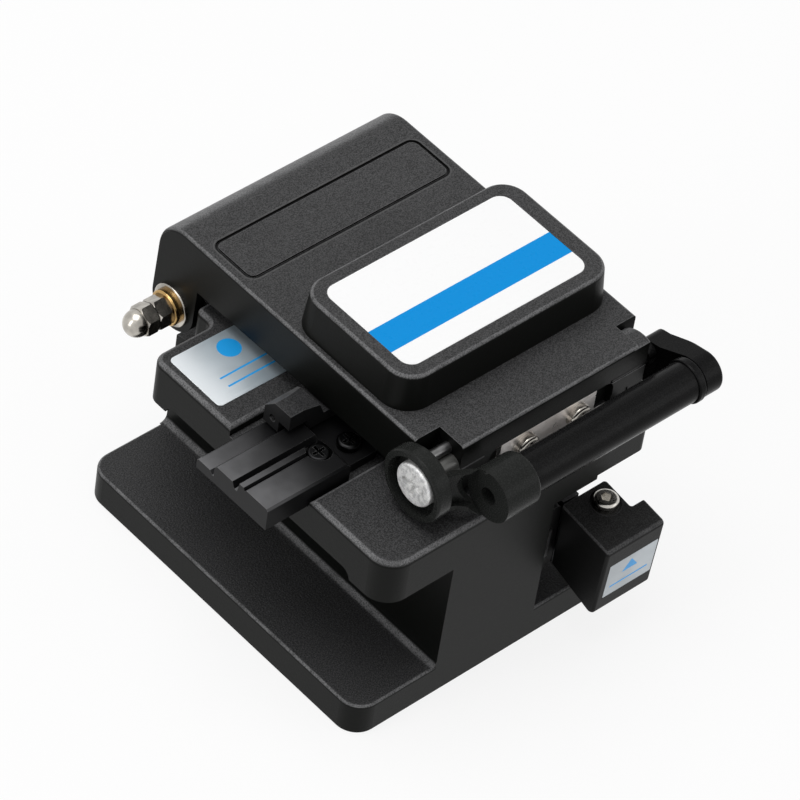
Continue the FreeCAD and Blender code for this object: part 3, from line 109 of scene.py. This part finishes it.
# Colours, linear.
CASTING_WALL = [0.0040, 0.0043, 0.0038]
# The tops are lighter than the walls, partly for their pebbled finish and partly as painted light from above.
BODY_TOP = [0.043, 0.043, 0.044]
LID_TOP = [0.050, 0.050, 0.051]
LEVER_CAST = [0.017, 0.018, 0.017]
# Painted shade in the lid's frame groove and painted highlight on its outer lip.
GROOVE_SHADE = [0.006, 0.006, 0.006]
LIP_SHINE = [0.12, 0.12, 0.12]
BARE_EDGE = [0.9, 0.9, 0.9]
DUST = [0.09, 0.09, 0.088]
GUIDE_BLACK = [0.008, 0.008, 0.0085]
# Painted sheen on the fibre guide's top and painted highlight on its raised edges.
GUIDE_SHEEN = [0.15, 0.15, 0.155]
GUIDE_EDGE_HIGHLIGHT = [0.2, 0.2, 0.2]
OILY_SHANK = [0.10, 0.10, 0.095]
FILM_WHITES = ([0.985, 0.985, 0.985], [0.93, 0.935, 0.94])
FILM_BLUES = ([0.0, 0.265, 0.70], [0.004, 0.33, 0.78])
FOIL_GLARE = [0.86, 0.89, 0.91]
FOIL_INK = [0.012, 0.36, 0.84]
WING_TINT = [0.56, 0.66, 0.73]
KNOB_TINT = [0.50, 0.54, 0.57]
FLOOR_PALES = ([0.97, 0.97, 0.97], [0.95, 0.95, 0.95])
WHITE = (1.0, 1.0, 1.0, 1.0)


# ---------------------------------------------------------------- node graphs
class Graph:
    """Small helper round a material's node tree."""

    def __init__(self, name):
        self.mat = bpy.data.materials.new(name)
        self.mat.use_nodes = True
        self.tree = self.mat.node_tree
        self.tree.nodes.clear()
        self.out = self.tree.nodes.new("ShaderNodeOutputMaterial")
        self.bsdf = self.tree.nodes.new("ShaderNodeBsdfPrincipled")
        self.link(self.bsdf.outputs[0], self.out.inputs["Surface"])
        coords = self.tree.nodes.new("ShaderNodeTexCoord")
        self.place = coords.outputs["Object"]
        self.normal = coords.outputs["Normal"]

    def link(self, a, b):
        self.tree.links.new(a, b)

    def put(self, value, socket):
        """Link a socket, or set a number or colour on the socket itself."""
        if isinstance(value, bpy.types.NodeSocket):
            self.link(value, socket)
        elif value is not None:
            if socket.type == "RGBA" and len(value) == 3:
                value = (*value, 1.0)
            socket.default_value = value

    def math(self, op, a, b=None, clamp=False):
        n = self.tree.nodes.new("ShaderNodeMath")
        n.operation = op
        n.use_clamp = clamp
        for value, socket in zip((a, b), n.inputs):
            self.put(value, socket)
        return n.outputs[0]

    def times(self, first, *others):
        for other in others:
            first = self.math("MULTIPLY", first, other)
        return first

    def around(self, middle, source, swing):
        """middle, moved up and down by swing with a source that runs from 0 to 1."""
        return self.math("ADD", middle, self.times(self.math("SUBTRACT", source, 0.5), swing))

    def span(self, value, low, high, out_low=0.0, out_high=1.0, smooth=True):
        n = self.tree.nodes.new("ShaderNodeMapRange")
        n.interpolation_type = "SMOOTHSTEP" if smooth else "LINEAR"
        for v, socket in zip((value, low, high, out_low, out_high), n.inputs):
            self.put(v, socket)
        return n.outputs[0]

    def mix(self, fac, a, b):
        n = self.tree.nodes.new("ShaderNodeMix")
        n.data_type = "RGBA"
        self.put(fac, n.inputs[0])
        self.put(a, n.inputs[6])
        self.put(b, n.inputs[7])
        return n.outputs[2]

    def scaled(self, sx, sy, sz):
        n = self.tree.nodes.new("ShaderNodeMapping")
        n.inputs["Scale"].default_value = (sx, sy, sz)
        self.link(self.place, n.inputs["Vector"])
        return n.outputs[0]

    def noise(self, scale, detail=3.0, rough=0.55, at=None):
        n = self.tree.nodes.new("ShaderNodeTexNoise")
        n.inputs["Scale"].default_value = scale
        n.inputs["Detail"].default_value = detail
        n.inputs["Roughness"].default_value = rough
        self.link(at or self.place, n.inputs["Vector"])
        return n.outputs["Fac"]

    def cells(self, scale, feature):
        n = self.tree.nodes.new("ShaderNodeTexVoronoi")
        n.feature = feature
        n.inputs["Scale"].default_value = scale
        self.link(self.place, n.inputs["Vector"])
        return n.outputs["Distance"]

    def axis(self, socket, which):
        n = self.tree.nodes.new("ShaderNodeSeparateXYZ")
        self.link(socket, n.inputs[0])
        return n.outputs["XYZ".index(which)]

    def upward(self):
        """1 on faces that look up in the piece's own frame, 0 on its walls."""
        return self.span(self.axis(self.normal, "Z"), 0.55, 0.85)

    def rounding(self, radius, samples):
        """The normal of the surface with its edges rounded, and how far that turns from the real one."""
        rounded = self.tree.nodes.new("ShaderNodeBevel")
        rounded.samples = samples
        rounded.inputs["Radius"].default_value = radius
        real = self.tree.nodes.new("ShaderNodeNewGeometry")
        dot = self.tree.nodes.new("ShaderNodeVectorMath")
        dot.operation = "DOT_PRODUCT"
        self.link(rounded.outputs[0], dot.inputs[0])
        self.link(real.outputs["Normal"], dot.inputs[1])
        return rounded.outputs[0], self.math("SUBTRACT", 1.0, dot.outputs["Value"])

    def edge(self, radius):
        """1 along convex and concave edges, 0 on open faces."""
        return self.span(self.rounding(radius, 4)[1], 0.03, 0.3)

    def raised_edge(self, radius):
        """Mask for painted highlights: 1 along convex edges that look up, 0 in corners, where little sky is seen."""
        rounded, turn = self.rounding(radius, 6)
        sky = self.tree.nodes.new("ShaderNodeAmbientOcclusion")
        sky.samples = 6
        sky.inputs["Distance"].default_value = 0.8 * MM
        open_air = self.span(sky.outputs["AO"], 0.72, 0.92)
        lit = self.span(self.axis(rounded, "Z"), 0.2, 0.55)
        return self.times(self.span(turn, 0.03, 0.22), open_air, lit)

    def bump(self, height, distance, strength):
        n = self.tree.nodes.new("ShaderNodeBump")
        n.inputs["Distance"].default_value = distance
        self.put(strength, n.inputs["Strength"])
        self.link(height, n.inputs["Height"])
        return n.outputs[0]

    def finish(self, color, roughness, normal=None, metallic=0.0, **constants):
        self.put(color, self.bsdf.inputs["Base Color"])
        self.put(roughness, self.bsdf.inputs["Roughness"])
        self.put(metallic, self.bsdf.inputs["Metallic"])
        if normal is not None:
            self.link(normal, self.bsdf.inputs["Normal"])
        for key, value in constants.items():
            self.bsdf.inputs[key.replace("_", " ")].default_value = value
        return self.mat


def tinted(color, factor):
    return [c * factor for c in color]


def frame_line(g, centre, half, r):
    """Distance in millimetres from a rounded rectangle's outline, below zero inside it."""
    d = []
    for which, mid, reach in zip("XY", centre, half):
        flat = g.math("DIVIDE", g.axis(g.place, which), MM)
        d.append(g.math("SUBTRACT", g.math("ABSOLUTE", g.math("SUBTRACT", flat, mid)), reach - r))
    out = [g.math("MAXIMUM", side, 0.0) for side in d]
    far = g.math("SQRT", g.math("ADD", g.times(out[0], out[0]), g.times(out[1], out[1])))
    near = g.math("MINIMUM", g.math("MAXIMUM", d[0], d[1]), 0.0)
    return g.math("SUBTRACT", g.math("ADD", far, near), r)


def band(g, coord, low, high, soft=0.03):
    """1 where a coordinate (in metres) lies between low and high millimetres."""
    rise = g.span(coord, (low - soft) * MM, (low + soft) * MM)
    fall = g.span(coord, (high - soft) * MM, (high + soft) * MM)
    return g.math("SUBTRACT", rise, fall, clamp=True)


def disc(g, x, y, cx, cy, r):
    """1 inside a circle given in millimetres."""
    dx = g.math("SUBTRACT", x, cx * MM)
    dy = g.math("SUBTRACT", y, cy * MM)
    d = g.math("SQRT", g.math("ADD", g.times(dx, dx), g.times(dy, dy)))
    return g.span(d, (r - 0.04) * MM, (r + 0.04) * MM, 1.0, 0.0)


# ---------------------------------------------------------------- finishes
def coat(name, wall, top, grain_top, grain_wall, rough, spec=0.15, rim=0.14, panel=None, cast=None):
    """Baked black coating: pebbled on upward faces, smooth satin on the walls, with painted highlights along up-turned
    fillets and raised edges. The upward faces are lighter than the walls, partly for their pebbled finish and partly
    as painted light from above.

    panel gives centre, half size and corner of a moulded frame whose groove is painted dark as shade, with a painted
    highlight on its outer lip. cast gives the X, in millimetres, to the left of which the piece is rough cast, and
    that part's colour."""
    g = Graph(name)
    up = g.upward()
    pebbles = g.cells(2600.0, "SMOOTH_F1")
    fine = g.noise(4300.0, 3.0, 0.6)
    cloud = g.noise(55.0, 2.0, 0.5)
    speckle = g.span(fine, 0.36, 0.66)
    height = g.math("ADD", g.times(pebbles, 0.9), g.times(fine, 0.8))
    strength = g.math("ADD", g.times(up, grain_top - grain_wall), grain_wall)
    # Upward faces take the lighter top colour: partly the pebbled finish, partly painted light from above.
    shade = g.mix(up, wall, g.mix(speckle, tinted(top, 0.58), tinted(top, 1.9)))
    shade = g.mix(g.times(cloud, 0.3), shade, tinted(wall, 0.7))
    # Painted highlight: fillets that turn up and open convex edges that face up are lightened towards the rim colour,
    # broken by noise.
    tilt = g.axis(g.normal, "Z")
    rolled = g.times(g.span(tilt, 0.25, 0.62), g.span(tilt, 0.90, 0.985, 1.0, 0.0))
    glint = g.math("MAXIMUM", g.times(rolled, g.span(fine, 0.35, 0.6, 0.3, 0.95)), g.raised_edge(0.25 * MM))
    painted_highlight = g.times(glint, g.span(g.noise(300.0), 0.3, 0.6, 0.6, 1.0))
    shade = g.mix(painted_highlight, shade, [rim, rim, rim * 1.02])
    if panel:
        line = frame_line(g, *panel)
        groove = g.times(g.span(line, -0.55, -0.40), g.span(line, 0.0, 0.15, 1.0, 0.0))
        lip = g.times(g.span(line, 0.05, 0.2), g.span(line, 0.3, 0.5, 1.0, 0.0))
        # Painted shade along the groove and a painted highlight on its outer lip, on upward faces only.
        shade = g.mix(g.times(groove, up), shade, GROOVE_SHADE)
        shade = g.mix(g.times(lip, up, 0.45), shade, LIP_SHINE)
    if cast:
        end, tone = cast
        left = g.span(g.axis(g.place, "X"), (end - 0.1) * MM, (end + 0.1) * MM, 1.0, 0.0)
        shade = g.mix(left, shade, g.mix(speckle, tinted(tone, 0.75), tinted(tone, 1.3)))
    return g.finish(shade, g.around(rough, fine, 0.25), g.bump(height, 0.12 * MM, strength), Specular_IOR_Level=spec)


def metal(name, color, rough, streak=(1.0, 1.0, 1.0), streak_scale=900.0, depth=0.01, dark=0.45, wear=0.25):
    """Machined or plated metal: tool streaks along one axis, faint clouding, brighter rims."""
    g = Graph(name)
    lines = g.noise(streak_scale, 5.0, 0.65, g.scaled(*streak))
    cloud = g.noise(260.0, 3.0, 0.5)
    shade = g.mix(g.span(cloud, 0.3, 0.7), tinted(color, dark), color)
    shade = g.mix(g.times(g.edge(0.18 * MM), wear), shade, BARE_EDGE)
    return g.finish(shade, g.around(rough, lines, rough * 0.9), g.bump(lines, depth * MM, 0.6), 1.0)


def rubber(name, color):
    """Matt rubber with a little dust on it."""
    g = Graph(name)
    fine = g.noise(5200.0, 3.0, 0.6)
    dust = g.span(g.noise(140.0, 4.0, 0.6), 0.5, 0.75)
    rough = g.span(fine, 0.2, 0.8, 0.7, 0.9, False)
    return g.finish(g.mix(g.times(dust, 0.25), color, DUST), rough, g.bump(fine, 0.03 * MM, 0.5),
                    Specular_IOR_Level=0.3)


def satin_guide(name):
    """Machined black anodised block, with a painted sheen on its top towards its outer end and painted highlights on
    its raised edges.
    """
    g = Graph(name)
    lines = g.noise(260.0, 5.0, 0.65, g.scaled(1.0, 22.0, 22.0))
    cloud = g.noise(110.0, 3.0, 0.5)
    # Painted sheen: the top is lightened towards its outer end, broken by clouds.
    outer = g.span(g.axis(g.place, "X"), GUIDE_SHEEN_X[0] * MM, GUIDE_SHEEN_X[1] * MM, 1.0, 0.0)
    pale = g.times(outer, g.upward(), g.span(cloud, 0.3, 0.7, 0.5, 1.0))
    shade = g.mix(pale, GUIDE_BLACK, GUIDE_SHEEN)
    # Painted highlight along the guide's raised edges.
    shade = g.mix(g.times(g.raised_edge(0.12 * MM), 0.6), shade, GUIDE_EDGE_HIGHLIGHT)
    return g.finish(shade, g.around(0.36, lines, 0.3), g.bump(lines, 0.006 * MM, 0.5), 0.2, Specular_IOR_Level=0.12)


def pale_plate(name, light, dark, scale, metallic, shank_from=None):
    """Dull pale plating, mottled; beyond shank_from (mm along X) it is darker, oily steel."""
    g = Graph(name)
    mottle = g.noise(scale, 5.0, 0.7)
    fine = g.noise(scale * 6.0, 3.0, 0.6)
    shade = g.mix(g.span(mottle, 0.40, 0.58), dark, light)
    if shank_from is not None:
        shank = g.span(g.axis(g.place, "X"), shank_from * MM, (shank_from + 0.3) * MM)
        shade = g.mix(shank, shade, OILY_SHANK)
    height = g.math("ADD", mottle, g.times(fine, 0.3))
    return g.finish(shade, g.span(fine, 0.2, 0.8, 0.24, 0.4, False), g.bump(height, 0.06 * MM, 0.5), metallic)


def printed_film(stripe_y):
    """White film with one plain blue stripe."""
    g = Graph("printed_film")
    y = g.axis(g.place, "Y")
    paper = g.noise(900.0, 4.0, 0.55)
    white = g.mix(g.times(paper, 0.25), *FILM_WHITES)
    blue = g.mix(g.times(g.noise(2400.0, 3.0, 0.6), 0.4), *FILM_BLUES)
    shade = g.mix(band(g, y, *stripe_y), white, blue)
    return g.finish(shade, g.span(paper, 0.2, 0.8, 0.24, 0.34, False), g.bump(paper, 0.006 * MM, 0.5),
                    Specular_IOR_Level=0.12)


def foil(name, ink, tint):
    """Brushed silver foil, paler towards its outer end, with the blue marks that ink(graph) gives."""
    g = Graph(name)
    brushed = g.noise(300.0, 4.0, 0.6, g.scaled(1.0, 9.0, 9.0))
    cloud = g.noise(95.0, 2.0, 0.5)
    silver = g.mix(g.span(cloud, 0.35, 0.65), tinted(tint, 0.82), tint)
    glare = g.span(g.axis(g.place, "X"), WING_GLARE_X[0] * MM, WING_GLARE_X[1] * MM, 0.85, 0.0)
    silver = g.mix(glare, silver, FOIL_GLARE)
    mask = ink(g)
    metallic = g.times(g.math("SUBTRACT", 1.0, mask), 0.55)
    return g.finish(g.mix(mask, silver, FOIL_INK), g.span(brushed, 0.2, 0.8, 0.28, 0.42, False),
                    g.bump(brushed, 0.006 * MM, 0.5), metallic)


def wing_ink(g):
    """A plain dot over two plain rules."""
    x, y = g.axis(g.place, "X"), g.axis(g.place, "Y")
    marks = disc(g, x, y, *WING_DOT)
    for rule in WING_RULES_Y:
        marks = g.math("MAXIMUM", marks, g.times(band(g, y, *rule), band(g, x, *WING_RULES_X)))
    return marks


def knob_ink(g):
    """A plain arrowhead over a plain rule."""
    x, z = g.axis(g.place, "X"), g.axis(g.place, "Z")
    half = g.times(g.math("SUBTRACT", ARROW_TIP_Z * MM, z), ARROW_SLOPE)
    off = g.math("ABSOLUTE", g.math("SUBTRACT", x, ARROW_X * MM))
    inside = g.span(g.math("SUBTRACT", half, off), -0.03 * MM, 0.03 * MM)
    arrow = g.times(inside, band(g, z, *ARROW_Z))
    rule = g.times(band(g, z, *KNOB_RULE_Z), band(g, x, *KNOB_RULE_X))
    return g.math("MAXIMUM", arrow, rule)


# rim is the colour of the painted highlights along fillets and raised edges.
CASTING = {"grain_top": 0.9, "grain_wall": 0.10, "rough": 0.40, "spec": 0.09, "rim": 0.19}
LEVER_COAT = coat("lever_black", [0.002, 0.002, 0.0020], [0.004, 0.004, 0.0041], 0.06, 0.03, 0.26, 0.07, 0.012,
                  cast=(BOSS_END_X, LEVER_CAST))
BY_SLOT = {
    "casting_black": coat("casting_black", CASTING_WALL, BODY_TOP, **CASTING),
    "lever_black": LEVER_COAT,
    "knob_black": coat("knob_black", [0.006, 0.006, 0.0060], [0.020, 0.020, 0.0202], 0.22, 0.10, 0.42, 0.10, 0.10),
    "plastic_black": coat("plastic_black", [0.014, 0.014, 0.014], [0.018, 0.018, 0.018], 0.2, 0.15, 0.45),
    "guide_black": satin_guide("guide_black"),
    "rubber_black": rubber("rubber_black", [0.018, 0.018, 0.018]),
    "alloy_dark": metal("alloy_dark", [0.10, 0.10, 0.105], 0.42, (1.0, 14.0, 14.0), 300.0),
    "steel_ground": metal("steel_ground", [0.52, 0.52, 0.53], 0.30, (18.0, 1.0, 18.0), 300.0),
    "screw_dark": metal("screw_dark", [0.07, 0.07, 0.072], 0.34),
    "screw_bright": metal("screw_bright", [0.58, 0.56, 0.52], 0.22, streak_scale=2600.0, depth=0.02),
    "chrome": metal("chrome", [0.56, 0.53, 0.48], 0.22, streak_scale=1800.0, dark=0.5),
    "carbide": metal("carbide", [0.36, 0.36, 0.38], 0.25),
    "brass": metal("brass", [0.62, 0.40, 0.16], 0.24, (20.0, 1.0, 1.0), 500.0),
}
OWN_FINISH = {
    "lid": coat("lid_black", CASTING_WALL, LID_TOP, panel=PANEL, **CASTING),
    "press_arm": coat("press_black", [0.014, 0.014, 0.0145], [0.030, 0.030, 0.031], 0.25, 0.10, 0.40, 0.10, 0.12),
    "guide_screws": metal("oiled_steel", [0.022, 0.022, 0.023], 0.3, dark=0.5, wear=0.3),
    "lever_pivot_screws": pale_plate("pivot_silver", [1.0, 1.0, 0.99], [0.66, 0.66, 0.66], 900.0, 0.35, PIVOT_SHANK_X),
    "window_plate": pale_plate("plate_nickel", [0.99, 0.95, 0.92], [0.86, 0.80, 0.76], 90.0, 0.85),
    "lever_stop_pin": metal("pin_steel", [0.22, 0.22, 0.22], 0.35, (18.0, 1.0, 18.0), 300.0),
}
for part in frame["record"]["subparts"]:
    mesh = NODES[part["node"]].data
    mesh.materials.clear()
    mesh.materials.append(OWN_FINISH.get(part["node"], BY_SLOT[part["material_slot"]]))


# ---------------------------------------------------------------- pieces
def link_mesh(name, bm, mat):
    mesh = bpy.data.meshes.new(name)
    bm.normal_update()
    bm.to_mesh(mesh)
    bm.free()
    mesh.materials.append(mat)
    obj = bpy.data.objects.new(name, mesh)
    bpy.context.scene.collection.objects.link(obj)
    return obj


def arm_web():
    """Deep lower half of the lever's right arm, flush with its inner face.

    It closes the view between the lid's lug and the bar."""
    bm = bmesh.new()
    rings = []
    for inner, y, low, high in WEB_SECTIONS:
        corners = ((inner, low), (WEB_OUTER_X, low), (WEB_OUTER_X, high), (inner, high))
        rings.append([bm.verts.new((x * MM, y * MM, z * MM)) for x, z in corners])
    for near, far in zip(rings, rings[1:]):
        for k in range(4):
            bm.faces.new((near[k], near[(k + 1) % 4], far[(k + 1) % 4], far[k]))
    bm.faces.new(rings[0][::-1])
    bm.faces.new(rings[-1])
    bmesh.ops.recalc_face_normals(bm, faces=bm.faces)
    sharp = [e for e in bm.edges if len(e.link_faces) == 2 and e.calc_face_angle() > WEB_SHARP]
    bmesh.ops.bevel(bm, geom=sharp, offset=WEB_ROUND * MM, segments=3, affect="EDGES", profile=0.5)
    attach(link_mesh("lever_arm_web", bm, LEVER_COAT), "lever")


def rounded_outline(w, h, r, steps=8):
    pts = []
    for cx, cy, start in ((w - r, h - r, 0), (r, h - r, 90), (r, r, 180), (w - r, r, 270)):
        for k in range(steps + 1):
            a = math.radians(start + 90 * k / steps)
            pts.append((cx + r * math.cos(a), cy + r * math.sin(a)))
    return pts


def sticker(name, body, mat, origin, along, up, size, r, thick=0.1):
    """Thin self-adhesive plate: corner at origin, sides along two directions, lifted edge rolled over."""
    along = Vector(along).normalized()
    up = Vector(up).normalized()
    out = along.cross(up).normalized()
    bm = bmesh.new()
    base = [bm.verts.new(Vector(origin) * MM + (along * x + up * y) * MM) for x, y in rounded_outline(*size, r)]
    face = bm.faces.new(base)
    grown = bmesh.ops.extrude_face_region(bm, geom=[face])
    lifted = [v for v in grown["geom"] if isinstance(v, bmesh.types.BMVert)]
    bmesh.ops.translate(bm, verts=lifted, vec=out * thick * MM)
    rim = [e for e in bm.edges if all(v in lifted for v in e.verts)]
    bmesh.ops.bevel(bm, geom=rim, offset=0.35 * thick * MM, segments=2, affect="EDGES", profile=0.6)
    bmesh.ops.recalc_face_normals(bm, faces=bm.faces)
    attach(link_mesh(name, bm, mat), body)


def labels():
    lid_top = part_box("lid")[1].z / MM
    sticker("name_film", "lid", printed_film(FILM_STRIPE_Y), (*FILM_ORIGIN, lid_top - FILM_SEAT), (1, 0, 0), (0, 1, 0),
            FILM_SIZE, FILM_CORNER, FILM_THICK)
    deck_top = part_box("clamp_seat_left")[0].z / MM
    sticker("wing_foil", "base", foil("wing_foil_ink", wing_ink, WING_TINT), (*WING_ORIGIN, deck_top + 0.005),
            (1, -WING_SKEW, 0), (WING_SKEW, 1, 0), WING_SIZE, WING_CORNER)
    lean = KNOB_LEAN / (KNOB_TOP_Z - KNOB_FOOT_Z)
    x, z = KNOB_FOIL_ORIGIN
    sticker("knob_foil", "carriage", foil("knob_foil_ink", knob_ink, KNOB_TINT),
            (x, KNOB_FRONT_Y + lean * (KNOB_TOP_Z - z) + KNOB_FOIL_SEAT, z), (1, 0, 0), (0.0, -lean, 1.0),
            KNOB_FOIL_SIZE, KNOB_FOIL_CORNER)


# ---------------------------------------------------------------- stage
def show_to_eye(tree, lit, seen, out, share=1.0):
    """Shade with lit for the rays that light the object, and with share of seen for those that look at it."""
    path = tree.nodes.new("ShaderNodeLightPath")
    looks = path.outputs["Is Camera Ray"]
    for ray in ("Is Glossy Ray", "Is Transmission Ray"):
        add = tree.nodes.new("ShaderNodeMath")
        add.operation = "ADD"
        add.use_clamp = True
        tree.links.new(looks, add.inputs[0])
        tree.links.new(path.outputs[ray], add.inputs[1])
        looks = add.outputs[0]
    part = tree.nodes.new("ShaderNodeMath")
    part.operation = "MULTIPLY"
    part.inputs[1].default_value = share
    tree.links.new(looks, part.inputs[0])
    mixer = tree.nodes.new("ShaderNodeMixShader")
    for source, socket in zip((part, lit, seen), mixer.inputs):
        tree.links.new(source.outputs[0], socket)
    tree.links.new(mixer.outputs[0], out.inputs["Surface"])


def stage_floor():
    bm = bmesh.new()
    bmesh.ops.create_grid(bm, x_segments=1, y_segments=1, size=6.0)
    g = Graph("floor_paper")
    g.finish(g.mix(g.times(g.noise(40.0, 2.0), 0.1), *FLOOR_PALES), 0.9, Specular_IOR_Level=0.0)
    glow = g.tree.nodes.new("ShaderNodeEmission")
    glow.inputs["Color"].default_value = WHITE
    show_to_eye(g.tree, g.bsdf, glow, g.out, 0.85)
    obj = link_mesh("floor", bm, g.mat)
    obj.location.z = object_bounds()[0][2] - 0.0001


def world():
    studio = bpy.data.worlds.new("studio")
    bpy.context.scene.world = studio
    studio.use_nodes = True
    tree = studio.node_tree
    tree.nodes.clear()
    backgrounds = []
    for strength in (0.40, 1.0):
        node = tree.nodes.new("ShaderNodeBackground")
        node.inputs["Color"].default_value = WHITE
        node.inputs["Strength"].default_value = strength
        backgrounds.append(node)
    show_to_eye(tree, *backgrounds, tree.nodes.new("ShaderNodeOutputWorld"))


def lamp(name, at, aim, size, watts):
    data = bpy.data.lights.new(name, "AREA")
    data.shape = "RECTANGLE"
    data.size, data.size_y = size
    data.energy = watts
    obj = bpy.data.objects.new(name, data)
    obj.location = at
    obj.rotation_euler = (Vector(aim) - Vector(at)).to_track_quat("-Z", "Y").to_euler()
    bpy.context.scene.collection.objects.link(obj)


def camera():
    """At the photograph's viewing angle, a long lens about a metre away."""
    data = bpy.data.cameras.new("view")
    data.sensor_width = 36.0
    data.lens = 250.73
    data.clip_start = 0.05
    data.clip_end = 50.0
    obj = bpy.data.objects.new("view", data)
    right = Vector((0.740215, -0.662143, 0.116831))
    down = Vector((-0.417373, -0.588726, -0.692244))
    ahead = Vector((0.527145, 0.463647, -0.712144))
    turn = Matrix((right, -down, -ahead)).transposed().to_4x4()
    obj.matrix_world = Matrix.Translation((-0.522061, -0.467067, 0.749037)) @ turn
    bpy.context.scene.collection.objects.link(obj)
    bpy.context.scene.camera = obj


arm_web()
labels()
stage_floor()
world()
lamp("overhead", (-0.10, 0.15, 0.95), (0.0, 0.0, 0.04), (0.7, 0.7), 4.9)
lamp("front_fill", (0.55, -0.85, 0.45), (0.0, 0.0, 0.03), (0.6, 0.5), 0.9)
lamp("left_strip", (-0.95, 0.20, 0.45), (0.0, 0.0, 0.04), (0.3, 0.8), 2.2)
camera()
bpy.context.scene.view_settings.view_transform = "Standard"
